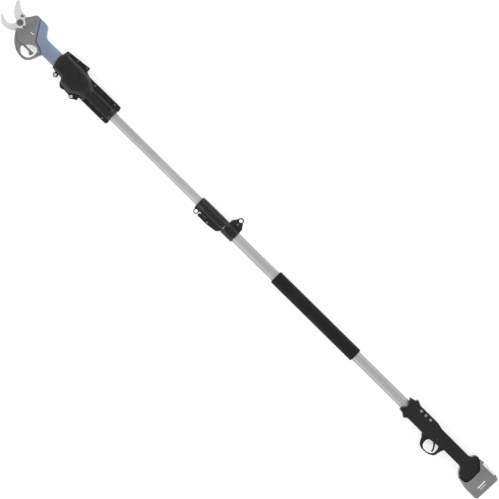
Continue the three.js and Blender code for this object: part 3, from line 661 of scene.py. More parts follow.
def build_materials():
    """The shader groups, and every finish in the colours that the panel holds."""
    build_grain_group()
    build_wear_and_highlight_group()
    build_streak_group()
    tint = colours()
    moulded_plastic("black_plastic", tint.black_plastic, 0.34, wear_and_highlight=0.45, wear_and_highlight_lift=2.6)
    moulded_plastic("soft_black", tint.black_plastic, 0.55, wear_and_highlight=0.15, wear_and_highlight_lift=1.6, grain=0.55)
    moulded_plastic("grey_plastic", tint.grey_plastic, 0.46, wear_and_highlight=0.4, wear_and_highlight_lift=1.5)
    moulded_plastic("blue_plastic", tint.blue_plastic, 0.44, wear_and_highlight=0.4, wear_and_highlight_lift=1.4,
                    lower=(0.20, 0.20, 0.225))
    moulded_plastic("light_plastic", tint.light_plastic, 0.42, wear_and_highlight=0.3, wear_and_highlight_lift=1.2)
    moulded_plastic("dim_lens", tuple(c * 0.36 for c in tint.light_plastic), 0.25, wear_and_highlight=0.0, grain=0.05)
    moulded_plastic("wrap_plastic", tint.wrap_plastic, 0.30, wear_and_highlight=0.2, wear_and_highlight_lift=1.5)
    moulded_plastic("cable_rubber", tint.cable_rubber, 0.50, wear_and_highlight=0.1, wear_and_highlight_lift=1.5, grain=0.2)
    streaked_metal("aluminium", tint.aluminium, 0.50, (1.0, 60.0, 60.0), spread=0.07, metallic=0.85)
    streaked_metal("blade_steel", tint.blade_steel, 0.34, (60.0, 8.0, 8.0), spread=0.08, metallic=0.45)
    streaked_metal("steel", tint.steel, 0.32, (30.0, 30.0, 4.0), spread=0.10)
    streaked_metal("dark_steel", tint.dark_steel, 0.38, (25.0, 25.0, 4.0), spread=0.10, wear_and_highlight=0.5)
    foam_material("foam", tint.foam)
    board_material("circuit_board", tint.circuit_board)


# ------------------------------------------------------------------ fasteners
def socket_screw(x, y, face, head_radius, head_height, depth, shank_radius, recess):
    """A button-head screw with a hexagon socket, standing on a face at the given height."""
    top = face + head_height
    head = upright(x, y, [
        (face - depth, 0), (face - depth, shank_radius, 0.3), (face + GAP, shank_radius),
        (face + GAP, head_radius, 0.3), (top, head_radius * 0.8, head_height * 0.45), (top, 0),
    ], 40)
    hexagon = post(x, y, recess, top - head_height * 0.62, top + 1, 6)
    return cut(head, hexagon)


# ------------------------------------------------------------------ tubes and grip
def circle(bm, radius, count):
    """Adds a ring of edges about the origin, and returns its corners."""
    return bmesh.ops.create_circle(bm, cap_ends=False, segments=count, radius=radius)["verts"]


def fluted_tube(tail, nose, radius, bore):
    """A drawn tube with flutes all round but for two plain strips on opposite sides."""
    flutes = fine_sizes().flute_count
    depth = size("flute_depth")
    strip_middle = math.radians(49)
    strip_half = math.radians(17)
    strip_fade = math.radians(5)
    steps = flutes * 6
    bm = bmesh.new()
    outside = circle(bm, radius, steps)
    circle(bm, bore, steps)
    for vert in outside:
        angle = math.atan2(vert.co.y, vert.co.x)
        off = abs((angle - strip_middle + math.pi / 2) % math.pi - math.pi / 2)
        share = min(1.0, max(0.0, (off - strip_half) / strip_fade))
        dip = depth * share * (0.5 - 0.5 * math.cos(flutes * angle))
        vert.co *= (radius - dip) / radius
    bmesh.ops.bridge_loops(bm, edges=bm.edges[:])
    raise_faces(bm, nose - tail)
    bmesh.ops.translate(bm, verts=bm.verts[:], vec=(0, 0, tail))
    bmesh.ops.transform(bm, verts=bm.verts[:], matrix=LENGTHWISE)
    return workpiece(bm)


def build_tubes():
    """The inner and the outer tube, and the bush that guides one in the other."""
    inner_wall, outer_wall = 1.8, 1.7
    for node, body, wall in (("inner_tube", "inner_pole", inner_wall),
                             ("outer_tube", "outer_pole", outer_wall)):
        tail, nose = extent(node, "x")
        radius = extent(node, "z")[1]
        tube = fluted_tube(tail, nose, radius, radius - wall)
        finish(tube, f"fluted_{node}", body, "aluminium", node, crease=50)
    tail, nose = extent("tube_bush", "x")
    radius = extent("tube_bush", "z")[1]
    bush = sleeve(tail, nose, radius, extent("inner_tube", "z")[1] + RUNNING, 0.8)
    finish(bush, "guide_bush", "outer_pole", "light_plastic", "tube_bush")


def build_foam_grip():
    """A foam sleeve with round ends, whose surface wanders a little in and out."""
    rounding, rings, steps = 5.0, 110, 80
    slow_waves, quick_waves = 0.035, 0.22
    tail, nose = extent("foam_grip", "x")
    radius = extent("foam_grip", "z")[1]
    bore = extent("outer_tube", "z")[1] + GAP
    swell = size("foam_swell")
    bm = bmesh.new()
    outline(bm, [(bore, tail), (radius, tail, rounding), (radius, nose, rounding), (bore, nose)])
    bmesh.ops.rotate(bm, verts=bm.verts[:], matrix=Matrix.Rotation(math.pi / 2, 3, "X"))
    long_edges = [e for e in bm.edges if e.calc_length() > 50 and e.verts[0].co.x > bore + 1]
    bmesh.ops.delete(bm, geom=bm.faces[:], context="FACES_ONLY")
    bmesh.ops.subdivide_edges(bm, edges=long_edges, cuts=rings)
    full_spin(bm, steps)
    for vert in bm.verts:
        out = math.hypot(vert.co.x, vert.co.y)
        if out < bore + 1:
            continue
        slow = noise.noise(vert.co * slow_waves)
        quick = noise.noise(vert.co * quick_waves + Vector((7.0, 3.0, 1.0)))
        share = 1 - swell * (0.8 + 0.6 * slow + 0.35 * quick) / out
        vert.co.x *= share
        vert.co.y *= share
    bmesh.ops.transform(bm, verts=bm.verts[:], matrix=LENGTHWISE)
    grip = workpiece(bm)
    finish(grip, "foam_sleeve", "outer_pole", "foam", "foam_grip", crease=60)


def swept_wire(name, points, radius):
    """A round wire along a list of points, as a mesh in the frame."""
    curve = bpy.data.curves.new(name, "CURVE")
    curve.dimensions = "3D"
    curve.bevel_depth = radius * MM
    curve.bevel_resolution = 2
    curve.use_fill_caps = True
    spline = curve.splines.new("POLY")
    spline.points.add(len(points) - 1)
    for point, place in zip(spline.points, points):
        point.co = (*(TO_ROW @ Vector(place)), 1.0)
    holder = bpy.data.objects.new(name + "_curve", curve)
    bpy.context.scene.collection.objects.link(holder)
    graph = bpy.context.evaluated_depsgraph_get()
    mesh = bpy.data.meshes.new_from_object(holder.evaluated_get(graph))
    bpy.data.objects.remove(holder)
    bpy.data.curves.remove(curve)
    wire = bpy.data.objects.new(name, mesh)
    mesh.materials.clear()
    mesh.materials.append(look("cable_rubber"))
    mesh.shade_smooth()
    bpy.context.scene.collection.objects.link(wire)
    return wire


def build_cables():
    """The curly supply lead in the outer tube, and the straight lead in the inner one."""
    tail, nose = extent("coiled_cable", "x")
    wire = size("coil_wire") / 2
    clearance = 0.6
    coil = extent("coiled_cable", "z")[1] - wire - clearance
    lead = 12.0
    turns = fine_sizes().coil_turns
    steps = turns * 16
    widening = 40
    points = [(tail, 0, 0), (tail + lead / 2, 0, 0)]
    for i in range(steps + 1):
        share = i / steps
        angle = 2 * math.pi * turns * share
        reach = coil * min(1.0, share * widening, (1 - share) * widening)
        x = tail + lead + (nose - tail - 2 * lead) * share
        points.append((x, reach * math.cos(angle), reach * math.sin(angle)))
    points += [(nose - lead / 2, 0, 0), (nose, 0, 0)]
    curly = swept_wire("curly_cable", points, wire)
    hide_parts("coiled_cable")
    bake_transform(curly)
    start, end = extent("head_cable", "x")
    radius = extent("head_cable", "z")[1]
    straight = swept_wire("straight_cable", [(start, 0, 0), (end, 0, 0)], radius)
    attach(straight, "inner_pole")
    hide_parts("head_cable")


# ------------------------------------------------------------------ lock and strap collar
LEVER_PIN = (147.0, 30.0)
PIN_RADIUS = 2.6
PIN_HOLE = 2.7
LEVER_HALF = 7.4
COLLAR_EYE = (197.2, 28.4)


def build_lock_collar():
    """The lock's collar: a ribbed barrel with two ears for the lever and a small ring eye."""
    tail, nose = extent("lock_collar", "x")
    tube = extent("outer_tube", "z")[1]
    bore = extent("inner_tube", "z")[1] + RUNNING
    seat_nose = extent("tube_bush", "x")[1] + GAP
    pin_x, pin_y = LEVER_PIN
    eye_x, eye_y = COLLAR_EYE
    eye_radius, eye_hole, eye_half = 8.8, 5.6, 4
    outside = 20.5
    waist = outside - 1.0
    lip = outside - 0.6
    body = turned([
        (tail, bore - 2), (tail, lip, 0.8), (tail + 6, outside, 2.0), (nose - 9, outside, 1.0),
        (nose - 8.2, waist, 0.5), (nose - 6.2, waist, 0.5), (nose - 5.4, outside, 1.0),
        (nose, lip, 1.8), (nose, bore - 2),
    ], 128)
    ears = plate([(158, 12), (156, 35.5, 3), (146, 35.5, 5), (109, 31, 8), (100, 22, 4), (100, 12)],
                 -14, 14, 2.2)
    ledge = plate([(156, 12), (190, 12), (190, 22.1, 1), (156, 22.1)], -10, 10, 0.6)
    spine = plate([(108, -2, 2), (178, -2, 3), (186, 4, 4), (178, 10, 3), (108, 10, 2)],
                  10, outside + 0.8, 0.7)
    rail = plate([(104, -15, 2), (200, -15, 2), (200, -11, 2), (104, -11, 2)], 10, 18.2, 0.7)
    neck = plate([(188, 12), (209.5, 12), (209.5, 22, 4), (206, 26, 3), (188, 26, 2)],
                 -eye_half, eye_half, 1.0)
    eye = join(post(eye_x, eye_y, eye_radius, -eye_half, eye_half, 56, 1.2), neck)
    shell = join(body, ears, ledge, spine, rail, eye)
    lever_half = LEVER_HALF + GAP
    shoe_half = 6.8
    tools = [
        rod(tail - 1, nose + 1, bore, steps=96),
        rod(tail - 1, seat_nose, tube + GAP, steps=96),
        post(eye_x, eye_y, eye_hole, -9, 9, 48),
        block((100, 22, -lever_half), (170, 60, lever_half)),
        post(pin_x, pin_y, 11.0, -lever_half, lever_half, 48),
        block((137, 0, -shoe_half), (157, 40, shoe_half)),
        post(pin_x, pin_y, PIN_HOLE, -20, 20, 32),
    ]
    collar = cut(shell, *tools)
    groove_pitch, groove_width = 3.4, 1.5
    for groove in range(7):
        start = 112.0 + groove_pitch * groove
        cut(collar, block((start, -24, 4), (start + groove_width, -17.2, 30)))
    finish(collar, "lock_collar_body", "outer_pole", "black_plastic", "lock_collar")


def build_lock_lever():
    """The flip lever with its cam and its grooved thumb pad, and the pin that it turns on."""
    pin_x, pin_y = LEVER_PIN
    tip = extent("lock_lever", "x")[1]
    inner_y, outer_y = 22.4, 35.5
    pad_start, pad_half = 159, 13
    cam_radius, cam_offset = 9.8, 0.6
    end = [(tip - 7, inner_y, 6), (tip, 27, 4), (tip - 1, outer_y, 4)]
    arm = plate([(pin_x + 4, inner_y), *end, (pin_x, outer_y, 4), (pin_x - 3, 34)],
                -LEVER_HALF, LEVER_HALF, 1.0)
    pad = plate([(pad_start, inner_y, 2), *end, (pad_start, outer_y, 2)], -pad_half, pad_half, 2.4, 5)
    cam = common(post(pin_x, pin_y - cam_offset, cam_radius, -LEVER_HALF, LEVER_HALF, 72),
                 block((100, 0, -20), (200, outer_y, 20)))
    lever = join(arm, pad, cam)
    back_grooves = [
        block((x, outer_y - 1.6, -10.5), (x + 1.4, 37, 10.5))
        for x in (166.0, 169.6, 173.2, 176.8, 180.4)
    ]
    side_grooves = [
        block((x, 24, side * pad_half - 0.7), (x + 1.2, 33, side * pad_half + 0.7))
        for x in (164.0, 167.2, 170.4, 173.6, 176.8) for side in (-1, 1)
    ]
    cut(lever, post(pin_x, pin_y, PIN_HOLE, -20, 20, 32), *back_grooves, *side_grooves)
    finish(lever, "flip_lever", "lever", "soft_black", "lock_lever")
    low, high = extent("lever_pin", "z")
    pin = upright(pin_x, pin_y, [
        (low, 0), (low, PIN_RADIUS, 0.7), (high, PIN_RADIUS, 0.7), (high, 1.1, 0.2),
        (high - 0.8, 1.0), (high - 0.8, 0),
    ], 40)
    finish(pin, "hinge_pin", "outer_pole", "steel", "lever_pin")


def build_strap_collar():
    """The split collar that a strap hooks to: its ring, its eye plate and its clamping screw."""
    tail, nose = extent("strap_collar", "x")
    tube = extent("outer_tube", "z")[1] + GAP
    strap_nose = 97.0
    slot_half = 2.8
    screw_hole, head_hole, head_seat = 2.2, 5.2, 6.6
    ring = sleeve(tail, strap_nose, 21.5, tube - 2, 1.2, 128)
    ear = plate([(96, -10), (96, -32, 7), (88, -40, 7), (60, -40, 7), (52, -32, 7), (52, -10)],
                -8, 8, 2.0)
    rib = cut(sleeve(strap_nose - 0.5, nose, 20, tube - 2, 0.0, 128),
              block((90, -3.6, 0), (110, 12, 40)))
    pads = [
        plate([(58, low, 3), (90, low, 3), (90, low + 9, 3), (58, low + 9, 3)], 16, 22.3, 0.8)
        for low in (-12.0, 2.5)
    ]
    collar = join(ring, ear, rib, *pads)
    screw_x, screw_y = middle("collar_screw").x, middle("collar_screw").y
    cut(collar,
        rod(tail - 1, nose + 1, tube, steps=96),
        block((tail - 1, -60, -slot_half), (strap_nose + 1, 0, slot_half)),
        post(screw_x, screw_y, screw_hole, -20, 20, 32),
        post(screw_x, screw_y, head_hole, head_seat, 20, 40))
    finish(collar, "strap_collar_body", "outer_pole", "black_plastic", "strap_collar")

    eye_x, eye_y = 74.0, -48.5
    half, eye_radius, eye_hole = 2.5, 9.8, 5.8
    tongue = plate([
        (91, -24, 1), (94, -33, 5), (84, -48, 5), (64, -48, 5), (54, -33, 5), (57, -24, 1),
    ], -half, half, 0.8)
    rim = upright(eye_x, eye_y, [
        (-half, 5.0), (-half, eye_radius, 1.8), (half, eye_radius, 1.8), (half, 5.0)], 64)
    eye = cut(join(tongue, rim), post(eye_x, eye_y, eye_hole, -9, 9, 56),
              post(screw_x, screw_y, screw_hole, -9, 9, 32))
    finish(eye, "strap_eye_plate", "outer_pole", "black_plastic", "strap_eye")
    screw = socket_screw(screw_x, screw_y, face=head_seat, head_radius=4.2, head_height=2.6,
                         depth=17, shank_radius=1.9, recess=1.7)
    finish(screw, "strap_collar_screw", "outer_pole", "dark_steel", "collar_screw")


# ------------------------------------------------------------------ head holder
HOLDER_RIM = [
    (838, -47.5, 5), (749, -57.5, 2.4), (748, -43, 4), (731, -37, 8), (594, -38, 5), (589.5, -24, 5),
    (597, -16, 4), (597, 12, 4), (590, 20, 4), (591, 30, 4), (597, 33.5, 3), (712, 33.5, 3),
    (709, 44, 3), (716, 47, 4), (725, 52, 5), (760, 48, 8), (774, 54, 10), (787, 42, 8), (793, 28, 7),
    (806, 27, 4), (822, 27, 4), (835, 23, 5),
]
HOLDER_CUFF = [
    (837, -39, 14), (844, -12, 30), (835, 24, 14), (795, 26, 14), (782, 42, 16), (742, 44, 16),
    (714, 26, 20), (702, 14, 16), (702, -16, 16), (718, -32, 20), (760, -40, 24),
]
GRIP_TOP, GRIP_BOTTOM, GRIP_HALF, GRIP_FOOT = -27.7, 19.5, 20.0, 752.0


def fastener_places(names):
    """The (x, y) of the middle of each named CAD fastener."""
    return [(middle(name).x, middle(name).y) for name in names]


def build_holder():
    """The two black shells that hold the secateurs on the inner tube, with their fasteners."""
    half = extent("holder_shell_front", "z")[1]
    flange = 8.0
    rim = size("shell_rim")
    tube_nose = extent("inner_tube", "x")[1]
    tube = extent("inner_tube", "z")[1]
    cuff_screws = [f"cuff_screw_{i}" for i in (1, 2, 3)]
    socket_screws = [f"socket_screw_{i}" for i in (1, 2, 3, 4)]
    bolts = ["cuff_bolt_1", "cuff_bolt_2"]
    lug_half = 9.0
    head_seat = flange - 0.6

    dome = half - 1.6
    cuff_rim, crease_depth = 12.5, 1.8
    body = plate(HOLDER_RIM, -flange, flange, rim)
    cuff = plate(HOLDER_CUFF, -dome, dome, cuff_rim, 8)
    sunk = plate(HOLDER_CUFF, crease_depth - dome, dome - crease_depth, cuff_rim - crease_depth, 8,
                 inset=crease_depth)
    crease = cut(plate([(804, -60), (808, -60), (802, -12, 10), (808, 60), (804, 60), (798, -12, 10)],
                       -60, 60), sunk)
    cut(cuff, crease)
    crown = plate([
        (796, -24, 8), (793, 10, 8), (776, 31, 10), (742, 33, 10), (722, 20, 10), (712, 4, 6),
        (722, -16, 10), (748, -30, 10), (782, -31, 8),
    ], -half, half, 1.5, 4)
    scoop = [
        plate([(768, -26, 3), (762, -26, 3), (738, -2, 4), (744, 2, 4)], dome, half + 9),
        plate([(786, 2, 3), (781, 8, 3), (748, 12, 4), (752, 5, 4)], dome, half + 9),
    ]
    join(cuff, crown)
    cut(cuff, *scoop)
    socket = turned([(592, 0), (592, 23, 5), (722, 23), (722, 0)], 96)
    saddle = turned([(690, 0), (690, 23.6, 1), (706, 29, 6), (726, 30), (726, 0)], 96)
    pads = [
        plate([(604, -3, 4), (700, -3, 5), (712, 8, 6), (700, 17, 6), (604, 17, 4)],
              side * 15 - 10, side * 15 + 10, 1.2)
        for side in (-1, 1)
    ]
    channel = [
        block((610, -12.5, low), (702, -5.5, low + 10)) for low in (19.0, -29.0)
    ]
    cut(socket, *channel)
    join(socket, *pads)
    edge_bar = plate([(836, -45, 2), (751, -54.6, 1), (751, -51.4, 1), (836, -41.8, 2)],
                     -flange - 1.4, flange + 1.4, 0.6)
    lugs = [post(x, y, 8.4, -lug_half, lug_half, 56, 1.4) for x, y in fastener_places(bolts)]
    ribs = [
        plate([(x, -37, 1), (x + 3, -37, 1), (x + 3, 33, 1), (x, 33, 1)], -flange - 7, flange + 7, 1.0)
        for x in (626.0, 654.0, 682.0)
    ]
    whole = join(body, cuff, socket, saddle, edge_bar, *lugs, *ribs)
    grip_room = plate(
        [(GRIP_FOOT - 4, GRIP_TOP - RUNNING, 7), (900, GRIP_TOP - RUNNING, 7),
         (900, GRIP_BOTTOM + RUNNING, 7), (GRIP_FOOT - 4, GRIP_BOTTOM + RUNNING, 7)],
        -GRIP_HALF - RUNNING, GRIP_HALF + RUNNING, 6.0, 5)
    gutter = [
        plate([(826, -38.8), (752, -46.6), (752, -43.4), (826, -35.8)], low, low + 10)
        for low in (flange - 2.5, -flange - 7.5)
    ]
    tools = [
        grip_room, *gutter,
        rod(500, tube_nose + GAP, tube + GAP, steps=96),
        rod(600, 740, 4.5),
        block((tube_nose + 24, -19, -15), (GRIP_FOOT, 11, 15)),
        block((746, 20, -14), (784, 38, 14)),
    ]
    screw_hole, head_hole, bolt_hole = 2.1, 4.7, 3.9
    for name in cuff_screws + socket_screws:
        spot = middle(name)
        tools.append(post(spot.x, spot.y, screw_hole, -flange + 1, 40, 24))
        tools.append(post(spot.x, spot.y, head_hole, head_seat, 40, 40))
    for x, y in fastener_places(bolts):
        tools.append(post(x, y, bolt_hole, -20, 20, 32))
    front, back = halves(cut(whole, *tools))
    finish(front, "holder_front", "inner_pole", "black_plastic", "holder_shell_front")
    finish(back, "holder_back", "inner_pole", "black_plastic", "holder_shell_back")
    for name in cuff_screws + socket_screws:
        spot = middle(name)
        screw = socket_screw(spot.x, spot.y, face=head_seat, head_radius=3.9, head_height=2.4,
                             depth=12.4, shank_radius=1.8, recess=1.5)
        finish(screw, f"holder_{name}", "inner_pole", "dark_steel", name)
    for name in bolts:
        spot = middle(name)
        bolt = socket_screw(spot.x, spot.y, face=lug_half, head_radius=5.6, head_height=2.6,
                            depth=17, shank_radius=3.5, recess=2.3)
        finish(bolt, f"holder_{name}", "inner_pole", "blade_steel", name)


# ------------------------------------------------------------------ secateurs
GRIP_OUTLINE = [
    (970, -60.5), (944, -60.5, 12), (933, -56, 10), (926, -44, 20), (912, GRIP_TOP, 16),
    (GRIP_FOOT, GRIP_TOP, 8), (GRIP_FOOT, GRIP_BOTTOM, 8), (892, GRIP_BOTTOM, 10), (908, 10, 10),
    (930, 4, 14), (940, -12, 14),
]
GRIP_RIM = 6.5
HEAD_BODY = [
    (960, -60.5), (985, -60.5, 9), (997, -41, 12), (1004, -33, 8), (1003, -10, 12), (1002, 20, 8),
    (972, 38, 12), (935, 28, 10), (888, 20.3), (900, 0), (935, -25), (955, -45),
]
HEAD_GUARD = flowing([
    (1000, 0), (1002, 21, 8), (985, 45, 20), (967, 60, 20), (948, 69, 18), (919, 71, 18),
    (904, 59, 14), (895, 38, 12), (891, 26, 8), (887, 20.3), (900, 8), (960, 0),
])
GUARD_OPENING = flowing([
    (957.5, 45, 4), (948, 31, 5), (940, 22, 8), (927, 16, 8), (913, 14.5, 6), (904.5, 20, 6),
    (903.5, 40, 14), (911, 57, 12), (928, 63, 12), (944, 60, 12),
])
PIVOT = (1006.7, -5.4)
BLADE_SLOT = 3.6
BLADE_TEETH, BLADE_PITCH = 32, 32.0
PINION_TEETH, PINION_PITCH = 8, 8.0
PINION = (PIVOT[0] - BLADE_PITCH - PINION_PITCH, PIVOT[1])
LOCK_SCREW = (988.2, -4.4)
FINGER_PIN_HOLE = 1.7


def build_secateurs_casing():
    """The grey head and the blue grip, both hollow and both parted in front and back halves."""
    half, nose_half, wall = 22.0, 12.0, 2.4
    deep = half - wall
    boss_radius, boss_x = 11, PIVOT[0] - 1
    shaft_bore = 6
    pivot_x, pivot_y = PIVOT
    shape = side_plate([
        (700, -half), (962, -half, 14), (977, -nose_half, 10), (1010, -nose_half),
        (1010, nose_half), (977, nose_half, 10), (962, half, 14), (700, half),
    ], -100, 100)
    hollow = side_plate([
        (700, -deep), (958, -deep), (973, wall - nose_half), (1010, wall - nose_half),
        (1010, nose_half - wall), (973, nose_half - wall), (958, deep), (700, deep),
    ], -100, 100)
    drum = common(plate(HEAD_BODY, -half, half, 7.5, 8), shape)
    guard = plate(HEAD_GUARD, -9, 9, 3.4, 6)
    cavity = common(plate([
        (974, -57, 2), (982, -57, 4), (996, -36, 4), (1012, -20), (1012, 14), (992, 24, 8),
        (960, 26, 8), (944, 18, 4), (946, 4, 6), (952, -14, 10),
    ], -deep, deep), hollow)
    head = cut(join(drum, guard), cavity, plate(GUARD_OPENING, -40, 40))
    bosses = [
        post(boss_x, pivot_y, boss_radius, BLADE_SLOT, nose_half, 64, 0.6),
        post(boss_x, pivot_y, boss_radius, -nose_half, -BLADE_SLOT, 64, 0.6),
    ]
    head = join(head, *bosses)
    pin = middle("pruner_trigger_pin")
    tools = [
        plate(GRIP_OUTLINE, -40, 40, inset=-GAP),
        block((984, -48, -BLADE_SLOT), (1030, 40, BLADE_SLOT)),
        post(pivot_x, pivot_y, 4.2, -30, 30, 40),
        rod(860, 960, shaft_bore, pivot_y),
        block((906, 16, -5), (pin.x + 6, 44, 5)),
        post(pin.x, pin.y, FINGER_PIN_HOLE, -7, 7, 24),
        post(*PINION, 4.3, -12.5, 12.5, 32),
    ]
    head_front, head_back = halves(cut(head, *tools))
    cut(head_front, block((979, -24, nose_half - 0.01), (1030, 20, 40)))
    mark = plate([(948, -10.5, 0.8), (961, -8.5, 0.8), (961, -6, 0.8), (948, -8, 0.8)],
                 half - 1, half + 0.5, 0.2, 2)
    cut(head_front, plate([(947.7, -10.9, 0.8), (961.3, -8.8, 0.8), (961.3, -5.6, 0.8),
                           (947.7, -7.7, 0.8)], half - 1.3, half + 5))
    finish(mark, "charge_window", "secateurs", "light_plastic")
    finish(head_front, "head_casing_front", "secateurs", "grey_plastic", "pruner_head_front")
    finish(head_back, "head_casing_back", "secateurs", "grey_plastic", "pruner_head_back")

    body = plate(GRIP_OUTLINE, -GRIP_HALF, GRIP_HALF, GRIP_RIM, 7)
    inside_half = GRIP_HALF - wall
    inside = plate([
        (965, -57, 2), (946, -57, 8), (929, -42, 12), (913, -25, 10), (755, -25, 4),
        (755, 17, 4), (890, 17, 4), (906, 8, 8), (927, 2, 8), (936, -13, 8),
    ], -inside_half, inside_half, 4.0, 3)
    grip = cut(body, inside, block((740, -15, -10), (760, 7, 10)), rod(880, 960, shaft_bore, pivot_y))
    grip_front, grip_back = halves(grip)
    finish(grip_front, "grip_casing_front", "secateurs", "blue_plastic", "pruner_grip_front")
    finish(grip_back, "grip_casing_back", "secateurs", "blue_plastic", "pruner_grip_back")


def tooth_corners(pitch, teeth, first, count, phase):
    """The corners of a gear's teeth about its centre."""
    module = 2 * pitch / teeth
    ring = ((-1.05, -0.31), (0.75, -0.11), (0.75, 0.11), (-1.05, 0.31))
    corners = []
    for i in range(first, first + count):
        for lift, share in ring:
            angle = phase + (i + share) * 2 * math.pi / teeth
            radius = pitch + lift * module
            corners.append((radius * math.cos(angle), radius * math.sin(angle)))
    return corners


CUTTING_EDGE = flowing([
    (1003, -32, 4), (1020, -34.5, 14), (1033, -37, 16), (1046, -46, 14), (1057, -54, 8),
    (1063.5, -53), (1062, -42, 16), (1050, -19, 20), (1036, -7, 16), (1021, 0, 10), (1009, 8, 6),
    (996, 2, 6),
])
HOOK = flowing([
    (1015, -18, 5), (1019, 6, 8), (1027, 17, 8), (1040, 20, 18), (1058, 16.5, 16), (1073, 11),
    (1065, 26, 14), (1050, 37, 18), (1036, 39.5, 18), (1020, 36, 20), (1002, 25, 10), (984, 12, 3),
    (984, -20, 3),
])


def ground_plate(corners, low, high, land, drop, share):
    """A plate whose upper rim is ground down in a slope, by a share of the drop at each place."""
    bm = bmesh.new()
    outline(bm, corners, low)
    raise_faces(bm, high - low)
    bmesh.ops.recalc_face_normals(bm, faces=bm.faces[:])
    upper = max(bm.faces, key=lambda face: face.calc_center_median().z)
    rim = set(upper.verts)
    bmesh.ops.inset_region(bm, faces=[upper], thickness=land, use_even_offset=True)
    for vert in rim:
        vert.co.z -= drop * min(1.0, max(0.0, share(vert.co)))
    return workpiece(bm)


def edge_share(co):
    """How far the cutting blade is ground down: not by the hub, and not along its back."""
    back_line = -53.5 + (1063.5 - co.x) * 0.55
    return min((co.x - 1019) / 9, (co.y - back_line) / 6)


def hook_share(co):
    """How far the hook is ground down: not by the hub, and not along its outer side."""
    return min((co.x - 1022) / 8, (24.5 - co.y) / 3)


def build_blades():
    """The two blades, and the rivet, plate, screw, nut, washer and bolt that hold them."""
    x, y = PIVOT
    pivot_hole = 4.1
    low, high = extent("cutting_blade", "z")
    edge, hub_rise = 0.35, 0.35
    sharp = ground_plate(CUTTING_EDGE, low, high, size("edge_land"), high - low - edge, edge_share)
    teeth = [(x + a, y + b) for a, b in tooth_corners(BLADE_PITCH, BLADE_TEETH, -6, 7, math.pi)]
    tail = plate(teeth + [(x, y - 8), (x, y + 10)], low, high)
    hub = post(x, y, 12.0, low, high + hub_rise, 56, 0.3)
    blade = cut(join(sharp, tail, hub), post(x, y, pivot_hole, -30, 30, 40))
    rivet = upright(1017.6, -25, [
        (high - 0.4, 0), (high - 0.4, 4.6), (high + 1.3, 4.6, 0.6), (high + 1.7, 2.2, 0.4),
        (high + 1.1, 2.0), (high + 1.1, 0)], 36)
    finish(blade, "ground_cutting_blade", "blade", "blade_steel", "cutting_blade")
    finish(rivet, "blade_rivet", "blade", "dark_steel")

    low, high = extent("hook_blade", "z")
    lock_hole = 2.6
    hook = ground_plate(HOOK, low, high, 2.0, 1.0, hook_share)
    cut(hook, post(x, y, pivot_hole, -30, 30, 40), post(*LOCK_SCREW, lock_hole, -30, 30, 24))
    finish(hook, "hooked_counter_blade", "secateurs", "blade_steel", "hook_blade")

    low, high = extent("lock_plate", "z")
    outline_corners = [
        (1018, -20, 6), (1006, -25, 8), (994, -17, 9), (981.5, -5, 5), (994, 7, 9), (1006, 14, 8),
        (1018, 8, 6),
    ]
    cover = cut(plate(outline_corners, low, high, 0.6, 3), post(x, y, 4.3, 0, 40, 40),
                post(*LOCK_SCREW, lock_hole, 0, 40, 24))
    finish(cover, "pivot_lock_plate", "secateurs", "blade_steel", "lock_plate")
    screw = socket_screw(*LOCK_SCREW, face=high - GAP, head_radius=4.8, head_height=2.2,
                         depth=15, shank_radius=2.3, recess=1.9)
    finish(screw, "lock_plate_screw", "secateurs", "dark_steel")

    nut_low, nut_high = extent("pivot_nut", "z")
    nut = post(x, y, 10.4, nut_low, nut_high, 6, 0.5)
    crown = upright(x, y, [(nut_low - 1, 0), (nut_low - 1, 10.2), (nut_low + 2.6, 10.2),
                           (nut_high + 1.5, 7.6), (nut_high + 1.5, 0)], 56)
    seat, washer_radius = high + GAP / 2, 11
    washer = upright(x, y, [
        (seat, pivot_hole), (seat, washer_radius), (nut_low, washer_radius, 0.2),
        (nut_low, pivot_hole)], 56)
    nut = common(nut, crown)
    cut(nut, post(x, y, 4.15, 0, 60, 40))
    finish(nut, "pivot_hex_nut", "secateurs", "dark_steel", "pivot_nut")
    finish(washer, "pivot_washer", "secateurs", "steel")
    low, high = extent("pivot_bolt", "z")
    head, shank, head_top = 8, 4, low + 3
    bolt = upright(x, y, [
        (low, 0), (low, head, 1.4), (head_top, head, 0.3), (head_top, shank), (high, shank, 0.7),
        (high, 0)], 56)
    cut(bolt, block((x - 9, y - 0.9, low - 1), (x + 9, y + 0.9, low + 1.3)))
    finish(bolt, "pivot_slotted_bolt", "secateurs", "dark_steel", "pivot_bolt")


def build_drive():
    """The spur pinion that moves the blade, and the bevel wheel above it, with cut teeth."""
    pinion_x, pinion_y = PINION
    half_step = math.pi / PINION_TEETH
    teeth = [
        (pinion_x + a, pinion_y + b)
        for a, b in tooth_corners(PINION_PITCH, PINION_TEETH, 0, PINION_TEETH, half_step)
    ]
    low, high = extent("drive_pinion", "z")
    spur = join(plate(teeth, 0, 3.4), post(pinion_x, pinion_y, 3.6, low, high, 40, 0.5))
    finish(spur, "spur_pinion", "pinion", "dark_steel", "drive_pinion")
    inner, outer, bore, foot, grooves = 8.5, 14.5, 3.9, -9, 24
    slope = 4.6 / outer
    inner_z, outer_z = (-radius * slope - 1.3 * GAP for radius in (inner, outer))
    wheel = upright(pinion_x, pinion_y, [
        (foot, bore), (foot, outer - 1, 0.5), (outer_z, outer), (inner_z, inner), (inner_z, bore),
    ], 72)
    for i in range(grooves):
        angle = 2 * math.pi * i / grooves
        groove = block((inner - 0.3, -0.45, outer_z - 0.6), (outer + 1, 0.45, 4.0))
        groove.data.transform(
            Matrix.Translation((pinion_x, pinion_y, 0)) @ Matrix.Rotation(angle, 4, "Z"))
        cut(wheel, groove)
    finish(wheel, "bevel_gear_wheel", "pinion", "dark_steel", "bevel_wheel")


